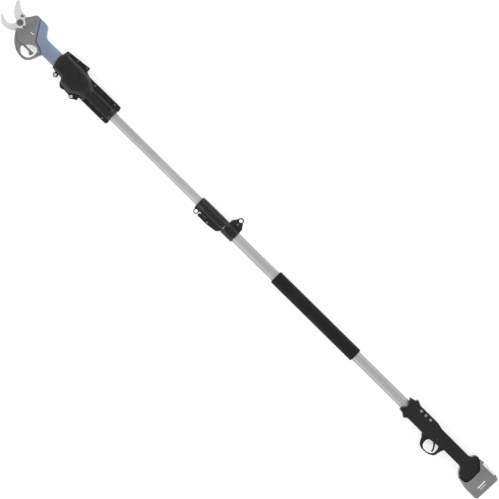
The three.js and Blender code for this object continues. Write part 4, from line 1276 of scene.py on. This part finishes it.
def build_finger_trigger():
    """The secateurs' own small trigger, inside the guard."""
    pin = middle("pruner_trigger_pin")
    bar = plate([
        (960, 30.5, 4), (960, 38, 4), (950, 40, 5), (926, 39.5, 9), (919, 46.5, 3.6),
        (912.5, 46.5, 3.6), (909.5, 36, 5), (911, 32, 3), (922, 33.4, 8), (946, 33.2, 8),
        (951, 30.5, 4),
    ], -4.5, 4.5, 1.3, 5)
    cut(bar, post(pin.x, pin.y, FINGER_PIN_HOLE, -20, 20, 24))
    finish(bar, "finger_trigger_bar", "finger_trigger", "grey_plastic", "pruner_trigger")


# ------------------------------------------------------------------ rear handle
HANDLE_RIM = 7.0
TRIGGER_PIN_HOLE = 2.1
HANDLE_OUTLINE = [
    (-696, -27.5, 3), (-713, -31.5, 5), (-719, -39, 3), (-736, -31.5, 9), (-811, -31.5, 30),
    (-838, -26, 30), (-961, -25, 14), (-967, -39, 10), (-976, -44.5, 9), (-985, -42, 9),
    (-1012, -17, 9), (-1012, 22, 14), (-1008, 40, 9), (-998, 43.5, 9), (-980, 45, 9), (-967, 33, 18),
    (-960, 17, 14), (-880, 17, 14), (-856, 21, 14), (-822, 26, 12), (-733, 25, 9), (-723, 33.5, 6),
    (-712, 25, 8), (-696, 21, 3),
]
HANDLE_GUARD = flowing([
    (-797, 15), (-798, 28, 8), (-808, 36, 10), (-814, 51, 14), (-825, 62.5, 12), (-848, 63, 16),
    (-863, 60, 14), (-879, 50, 12), (-880, 34, 10), (-888, 15),
])
HANDLE_OPENING = flowing([
    (-822, 42, 10), (-827, 24, 7), (-850, 22, 6), (-868, 19, 6), (-872, 33, 8), (-871, 48, 9),
    (-856, 58.5, 12), (-831, 58, 10),
])


def handle_side(mouth, grip, foot):
    """The handle's thickness along its length, as an XZ outline."""
    upper = [(-690, mouth), (-800, mouth, 60), (-850, grip, 60), (-950, grip, 30),
             (-975, foot, 14), (-1020, foot)]
    lower = [(x, -z, *rest) for x, z, *rest in reversed(upper)]
    return upper + lower


def build_rear_handle():
    """The handle's two shells, its three gauge windows and its power button."""
    mouth_half = extent("handle_shell_front", "z")[1]
    grip_half = 20.5
    foot_half = 27.0
    tube = extent("outer_tube", "z")[1] + GAP
    tube_tail = extent("outer_tube", "x")[0]
    deep = grip_half - 2.5
    pin = middle("trigger_pin")
    body = common(plate(HANDLE_OUTLINE, -28, 28, HANDLE_RIM, 8),
                  side_plate(handle_side(25.0, grip_half, foot_half), -100, 100))
    guard = plate(HANDLE_GUARD, -10, 10, 3.6, 6)
    ferrule = turned([(-697, 15), (-697, 23.6, 2), (-712, 24.6, 2), (-712, 15)], 96)
    band = common(
        plate([(-734, -25.5, 2), (-811, -25.5, 12), (-846, -19, 12), (-850, -14, 4), (-812, -16.5, 12),
               (-734, -16.5, 2)], -26, 26, 0.9, 3),
        side_plate(handle_side(25.9, grip_half + 0.9, foot_half), -100, 100))
    spur = plate([(-716, -22, 3), (-726, -22, 3), (-726, 19, 3), (-716, 19, 3)], -26, 26, 0.9, 3)
    whole = join(body, guard, ferrule, band, spur)
    lenses = [middle(f"gauge_lens_{i}") for i in (1, 2, 3)]
    lens_seat = mouth_half - 0.9
    mouth_curve = 26
    button_low, button_high = extent("top_button", "x")
    tools = [
        plate(HANDLE_OPENING, -40, 40),
        rod(tube_tail - GAP, -680, tube, steps=96),
        block((-985, -22, -deep), (tube_tail - 4, 13, deep)),
        rod(-770, -755, 8),
        block((-1020, -37, -foot_half + 3), (-984, 38.5, foot_half - 3)),
        block((-866, 10, -7), (-838, 30, 7)),
        post(-680, -3.2, mouth_curve, -40, 40, 96),
        block((button_low - GAP, -45, -5), (button_high + GAP, -20, 5)),
        post(pin.x, pin.y, TRIGGER_PIN_HOLE, -30, 30, 32),
    ]
    for spot in lenses:
        tools.append(post(spot.x, spot.y, 5.0, 10, lens_seat, 40))
        tools.append(post(spot.x, spot.y, 3.4, 10, 40, 40))
    groove_pitch, groove_width, groove_lean, groove_depth = 7.5, 2.6, 3.0, 0.8
    for groove in range(11):
        start = -868.0 - groove_pitch * groove
        slanted = [(start, -14, 1), (start - groove_width, -14, 1),
                   (start - groove_width - groove_lean, 8, 1), (start - groove_lean, 8, 1)]
        tools += [plate(slanted, grip_half - groove_depth, 40),
                  plate(slanted, -40, groove_depth - grip_half)]
    dimple_radius, dimple_depth = 3.4, 1.2
    dimples = [(-716.0, 12.0, mouth_half), (-770.0, 12.0, mouth_half), (-900.0, 8.0, grip_half),
               (-992.0, 24.0, foot_half)]
    for x, y, half in dimples:
        tools.append(post(x, y, dimple_radius, -40, dimple_depth - half, 32))
    front, back = halves(cut(whole, *tools))
    finish(front, "rear_handle_front", "outer_pole", "black_plastic", "handle_shell_front")
    finish(back, "rear_handle_back", "outer_pole", "black_plastic", "handle_shell_back")
    for i, spot in enumerate(lenses, 1):
        low, high = extent(f"gauge_lens_{i}", "z")
        shoulder = lens_seat - GAP
        foot_radius, face_radius = 4.6, 3.1
        lens = upright(spot.x, spot.y, [
            (low, 0), (low, foot_radius, 0.4), (shoulder, foot_radius, 0.2),
            (shoulder, face_radius), (high + 0.7, face_radius, 1.2), (high + 1.0, 0)], 48)
        finish(lens, f"gauge_window_{i}", "outer_pole", "dim_lens", f"gauge_lens_{i}")
    button = plate([
        (button_high, -26), (button_high, -38, 1.4), (button_low, -33.8, 1.4), (button_low, -26),
    ], -4.7, 4.7, 0.7, 3)
    finish(button, "power_button", "rear_button", "soft_black", "top_button")


def build_rear_trigger():
    """The trigger blade under the handle's grip."""
    pin = middle("trigger_pin")
    blade = plate([
        (pin.x + 6, pin.y - 4, 4), (pin.x + 5, pin.y + 10, 3), (-845, 21, 5), (-852, 28, 14),
        (-858.5, 38, 14), (-861, 48.5, 1.8), (-865.6, 47.5, 1.8), (-864.2, 38, 14), (-858.4, 28.6, 14),
        (-853, 21, 5), (pin.x - 6, pin.y + 8, 3), (pin.x - 6, pin.y - 4, 4),
    ], -5.5, 5.5, 1.3, 5)
    cut(blade, post(pin.x, pin.y, TRIGGER_PIN_HOLE, -20, 20, 32))
    finish(blade, "trigger_blade", "rear_trigger", "soft_black", "trigger")


# ------------------------------------------------------------------ battery
BATTERY_OUTLINE = [
    (-988, -42, 2), (-1002, -45.5, 16), (-1044, -45.5, 14), (-1072, -37, 8), (-1067, 56, 10),
    (-1020, 56, 16), (-1000, 51.5, 10), (-981, 46.5, 2),
]


def build_battery():
    """The battery's cover and tub, with a light strip along its -Y edge that is a painted highlight,
    the marks on its label and the release strip.
    """
    half = extent("battery_tub", "z")[1]
    end = extent("battery_tub", "x")[0]
    seam = (extent("battery_tub", "x")[1] + extent("battery_cover", "x")[0]) / 2
    latch_low, latch_high = extent("battery_latch", "x")
    latch_half = extent("battery_latch", "z")[1]
    whole = plate(BATTERY_OUTLINE, -half, half, 6.5, 7)
    cut(whole,
        plate(HANDLE_OUTLINE, -50, 50, inset=-GAP),
        block((latch_low - 1, -60, -latch_half - RUNNING),
              (latch_high + 10, -38, latch_half + RUNNING)))
    # A light plastic strip along the battery's -Y edge stands for the gloss that light puts there: a
    # painted highlight.
    highlight_strip_back, highlight_strip_front, highlight_strip_inner = -1052.0, -1002.0, -36.4
    painted_highlight_strip = common(twin(whole), block((highlight_strip_back, -60, -40), (highlight_strip_front, highlight_strip_inner, 40)))
    cut(whole, block((highlight_strip_back - GAP, -60, -40), (highlight_strip_front + GAP, highlight_strip_inner + GAP, 40)))
    finish(painted_highlight_strip, "battery_painted_highlight_strip", "battery", "light_plastic")
    cover = twin(whole)
    common(cover, block((seam + GAP / 2, -100, -100), (-900, 100, 100)))
    common(whole, block((end - 20, -100, -100), (seam - GAP / 2, 100, 100)))
    join(cover, block((-1016, -34, -22), (-990, 36, 22)))
    cut(cover, block((-995, -24, -17), (-988, 14, 17)))
    tub = whole
    hollow_half = 29.4
    cut(tub, block((-1064, -35, -hollow_half), (seam + 10, 50, hollow_half)))
    panel = plate([(-1030, -30, 5), (-1064, -28, 5), (-1060, 44, 5), (-1030, 44, 5)],
                  half - 0.6, half + 5, 0)
    cut(tub, panel)
    end_grooves = [
        block((end - 2.1, y, -20), (end + 3.1, y + 1.6, 20))
        for y in (-20.0, -12.0, -4.0, 4.0, 12.0, 20.0)
    ]
    cut(tub, *end_grooves)
    finish(cover, "battery_cover_shell", "battery", "grey_plastic", "battery_cover")
    finish(tub, "battery_tub_shell", "battery", "grey_plastic", "battery_tub")

    for i, (x, low, high, width, lift) in enumerate(
            [(-1044.6, -4.7, 27.7, 4.0, 0.0), (-1052.7, 0.5, 25.0, 1.8, -0.1)], 1):
        bar = plate([(x - width / 2, low, 0.8), (x + width / 2, low, 0.8), (x + width / 2, high, 0.8),
                     (x - width / 2, high, 0.8)], half - 0.58, half + lift, 0.25, 2, under=False)
        finish(bar, f"label_bar_{i}", "battery", "light_plastic")

    outside = extent("battery_latch", "y")[0]
    thick = 3.2
    strip = plate([(latch_high, outside + 1, 1), (latch_high - 8, outside, 2), (latch_low, outside, 1),
                   (latch_low, outside + thick, 1), (latch_high, outside + thick, 1)],
                  -latch_half, latch_half, 0.5, 3)
    thumb_grooves = [
        block((x, outside - 2, 3 - latch_half), (x + 2, outside + 0.6, latch_half - 3))
        for x in (latch_low + 6 + 4 * i for i in range(8))
    ]
    cut(strip, *thumb_grooves)
    finish(strip, "battery_release_strip", "latch", "light_plastic", "battery_latch")


# ------------------------------------------------------------------ CAD nodes that stay
KEPT_NODES = {
    "tube_end_plug": "black_plastic", "brake_shoe": "cable_rubber", "adapter_plug": "light_plastic",
    "bevel_pinion": "dark_steel", "pruner_gearbox": "dark_steel", "pruner_motor": "steel",
    "pruner_trigger_pin": "steel", "pruner_switch": "circuit_board", "trigger_pin": "dark_steel",
    "trigger_switch": "dark_steel", "handle_board": "circuit_board", "cable_socket": "light_plastic",
    "terminal_block": "black_plastic", "cell_block": "wrap_plastic",
}


def finish_kept_nodes():
    """Gives the CAD nodes that stay in view the scene's own finishes."""
    for node, material in KEPT_NODES.items():
        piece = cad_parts[node]
        piece.data.materials.clear()
        piece.data.materials.append(look(material))


# ------------------------------------------------------------------ stage
CAMERA_HEIGHT = 9.0
CAMERA_AIM = (-0.008, -0.0085)
CAMERA_ANGLE = math.radians(9.98)


def add_area_light(name, place, aim, lengths, power):
    """A rectangular lamp of two side lengths, turned to a point."""
    lamp = bpy.data.lights.new(name, "AREA")
    lamp.shape = "RECTANGLE"
    lamp.size, lamp.size_y = lengths
    lamp.energy = power
    lamp.color = (1.0, 1.0, 1.0)
    light = bpy.data.objects.new(name, lamp)
    light.location = place
    light.rotation_euler = (Vector(aim) - Vector(place)).to_track_quat("-Z", "Y").to_euler()
    bpy.context.scene.collection.objects.link(light)


def build_stage():
    """The white floor, the studio's light and the camera over the tool."""
    bm = bmesh.new()
    bmesh.ops.create_grid(bm, x_segments=2, y_segments=2, size=6.0)
    mesh = bpy.data.meshes.new("floor")
    bm.to_mesh(mesh)
    bm.free()
    floor = bpy.data.objects.new("floor", mesh)
    bpy.context.scene.collection.objects.link(floor)
    tree, shader = new_material("pale_floor", (0.90, 0.90, 0.90))
    shader.inputs["Roughness"].default_value = 0.9
    shader.inputs["Specular IOR Level"].default_value = 0.1
    shader.inputs["Emission Color"].default_value = (1.0, 1.0, 1.0, 1.0)
    shader.inputs["Emission Strength"].default_value = 0.42
    mesh.materials.append(look("pale_floor"))

    world = bpy.data.worlds.new("studio")
    world.use_nodes = True
    tree = world.node_tree
    tree.nodes["Background"].inputs["Color"].default_value = (1.0, 1.0, 1.0, 1.0)
    direction = add_node(tree, "ShaderNodeTexCoord")
    parts = add_node(tree, "ShaderNodeSeparateXYZ")
    link(tree, direction.outputs["Generated"], parts.inputs["Vector"])
    link(tree, remap(tree, parts.outputs["Z"], 0.0, 0.95, 1.15, 0.55),
         tree.nodes["Background"].inputs["Strength"])
    bpy.context.scene.world = world
    bpy.context.scene.view_settings.view_transform = "Standard"
    middle_point = (0.0, 0.0, 0.03)
    add_area_light("key_softbox", (0.3, 3.0, 2.4), middle_point, (3.4, 1.2), 55)
    add_area_light("rim_softbox", (-0.3, -3.0, 2.2), middle_point, (3.4, 1.2), 40)

    lens = bpy.data.cameras.new("camera")
    lens.angle = CAMERA_ANGLE
    lens.clip_start, lens.clip_end = 0.05, 30.0
    camera = bpy.data.objects.new("camera", lens)
    low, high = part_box("inner_tube")
    right = Vector((-0.71227, -0.70191, 0.0)).normalized()
    up = Vector((-right.y, right.x, 0.0))
    turn = Matrix((right, up, Vector((0, 0, 1)))).transposed().to_4x4()
    height = (low.z + high.z) / 2 + CAMERA_HEIGHT
    camera.matrix_world = Matrix.Translation((*CAMERA_AIM, height)) @ turn
    bpy.context.scene.collection.objects.link(camera)
    bpy.context.scene.camera = camera


# ------------------------------------------------------------------ operators
class POLEPRUNER_OT_materials(bpy.types.Operator):
    """Builds the plastics, metals, foam and rubber"""

    bl_idname = "polepruner.materials"
    bl_label = "Finishes"
    bl_options = {"REGISTER", "UNDO"}

    def execute(self, context):
        build_materials()
        return {"FINISHED"}


class POLEPRUNER_OT_stage(bpy.types.Operator):
    """Builds the floor, the lights and the camera"""

    bl_idname = "polepruner.stage"
    bl_label = "Stage"
    bl_options = {"REGISTER", "UNDO"}

    def execute(self, context):
        build_stage()
        return {"FINISHED"}


class POLEPRUNER_OT_tubes(bpy.types.Operator):
    """Draws the two fluted tubes and their bush"""

    bl_idname = "polepruner.tubes"
    bl_label = "Tubes"
    bl_options = {"REGISTER", "UNDO"}

    def execute(self, context):
        build_tubes()
        return {"FINISHED"}


class POLEPRUNER_OT_foam_grip(bpy.types.Operator):
    """Moulds the foam sleeve"""

    bl_idname = "polepruner.foam_grip"
    bl_label = "Foam grip"
    bl_options = {"REGISTER", "UNDO"}

    def execute(self, context):
        build_foam_grip()
        return {"FINISHED"}


class POLEPRUNER_OT_cables(bpy.types.Operator):
    """Winds the curly cable and the straight one"""

    bl_idname = "polepruner.cables"
    bl_label = "Cables"
    bl_options = {"REGISTER", "UNDO"}

    def execute(self, context):
        build_cables()
        return {"FINISHED"}


class POLEPRUNER_OT_lock(bpy.types.Operator):
    """Builds the lock collar, its lever and its pin"""

    bl_idname = "polepruner.lock"
    bl_label = "Lock"
    bl_options = {"REGISTER", "UNDO"}

    def execute(self, context):
        build_lock_collar()
        build_lock_lever()
        return {"FINISHED"}


class POLEPRUNER_OT_strap(bpy.types.Operator):
    """Builds the strap collar, its eye and its screw"""

    bl_idname = "polepruner.strap"
    bl_label = "Strap collar"
    bl_options = {"REGISTER", "UNDO"}

    def execute(self, context):
        build_strap_collar()
        return {"FINISHED"}


class POLEPRUNER_OT_holder(bpy.types.Operator):
    """Moulds the holder's two shells and their screws"""

    bl_idname = "polepruner.holder"
    bl_label = "Head holder"
    bl_options = {"REGISTER", "UNDO"}

    def execute(self, context):
        build_holder()
        return {"FINISHED"}


class POLEPRUNER_OT_casing(bpy.types.Operator):
    """Moulds the head and grip casings"""

    bl_idname = "polepruner.casing"
    bl_label = "Secateurs' casing"
    bl_options = {"REGISTER", "UNDO"}

    def execute(self, context):
        build_secateurs_casing()
        return {"FINISHED"}


class POLEPRUNER_OT_blades(bpy.types.Operator):
    """Grinds the blades and their pivot"""

    bl_idname = "polepruner.blades"
    bl_label = "Blades"
    bl_options = {"REGISTER", "UNDO"}

    def execute(self, context):
        build_blades()
        return {"FINISHED"}


class POLEPRUNER_OT_drive(bpy.types.Operator):
    """Cuts the pinion and the bevel wheel"""

    bl_idname = "polepruner.drive"
    bl_label = "Drive"
    bl_options = {"REGISTER", "UNDO"}

    def execute(self, context):
        build_drive()
        return {"FINISHED"}


class POLEPRUNER_OT_finger_trigger(bpy.types.Operator):
    """Moulds the secateurs' trigger"""

    bl_idname = "polepruner.finger_trigger"
    bl_label = "Finger trigger"
    bl_options = {"REGISTER", "UNDO"}

    def execute(self, context):
        build_finger_trigger()
        return {"FINISHED"}


class POLEPRUNER_OT_handle(bpy.types.Operator):
    """Moulds the handle, its lenses and its button"""

    bl_idname = "polepruner.handle"
    bl_label = "Rear handle"
    bl_options = {"REGISTER", "UNDO"}

    def execute(self, context):
        build_rear_handle()
        return {"FINISHED"}


class POLEPRUNER_OT_rear_trigger(bpy.types.Operator):
    """Moulds the rear trigger"""

    bl_idname = "polepruner.rear_trigger"
    bl_label = "Rear trigger"
    bl_options = {"REGISTER", "UNDO"}

    def execute(self, context):
        build_rear_trigger()
        return {"FINISHED"}


class POLEPRUNER_OT_battery(bpy.types.Operator):
    """Moulds the battery and its release strip"""

    bl_idname = "polepruner.battery"
    bl_label = "Battery"
    bl_options = {"REGISTER", "UNDO"}

    def execute(self, context):
        build_battery()
        return {"FINISHED"}


class POLEPRUNER_OT_kept_nodes(bpy.types.Operator):
    """Gives the inner parts their finishes"""

    bl_idname = "polepruner.kept_nodes"
    bl_label = "Inner parts"
    bl_options = {"REGISTER", "UNDO"}

    def execute(self, context):
        finish_kept_nodes()
        return {"FINISHED"}


OPERATORS = [
    POLEPRUNER_OT_materials,
    POLEPRUNER_OT_stage,
    POLEPRUNER_OT_tubes,
    POLEPRUNER_OT_foam_grip,
    POLEPRUNER_OT_cables,
    POLEPRUNER_OT_lock,
    POLEPRUNER_OT_strap,
    POLEPRUNER_OT_holder,
    POLEPRUNER_OT_casing,
    POLEPRUNER_OT_blades,
    POLEPRUNER_OT_drive,
    POLEPRUNER_OT_finger_trigger,
    POLEPRUNER_OT_handle,
    POLEPRUNER_OT_rear_trigger,
    POLEPRUNER_OT_battery,
    POLEPRUNER_OT_kept_nodes,
]


class POLEPRUNER_PT_panel(bpy.types.Panel):
    """Lists the tool's settings and the steps that build it."""

    bl_label = "Pole Pruner"
    bl_space_type = "VIEW_3D"
    bl_region_type = "UI"
    bl_category = "Pole Pruner"

    def draw(self, context):
        for settings in (context.scene.pole_pruner_sizes, context.scene.pole_pruner_colours):
            for key in settings.bl_rna.properties.keys():
                if key not in {"rna_type", "name"}:
                    self.layout.prop(settings, key)
        for step in OPERATORS:
            self.layout.operator(step.bl_idname)


CLASSES = [PolePrunerSizes, PolePrunerColours, *OPERATORS, POLEPRUNER_PT_panel]


def register():
    for item in CLASSES:
        bpy.utils.register_class(item)
    bpy.types.Scene.pole_pruner_sizes = PointerProperty(type=PolePrunerSizes)
    bpy.types.Scene.pole_pruner_colours = PointerProperty(type=PolePrunerColours)


def unregister():
    del bpy.types.Scene.pole_pruner_sizes
    del bpy.types.Scene.pole_pruner_colours
    for item in reversed(CLASSES):
        bpy.utils.unregister_class(item)


def main():
    register()
    for step in OPERATORS:
        getattr(bpy.ops.polepruner, step.bl_idname.split(".")[1])()


if __name__ == "__main__":
    main()
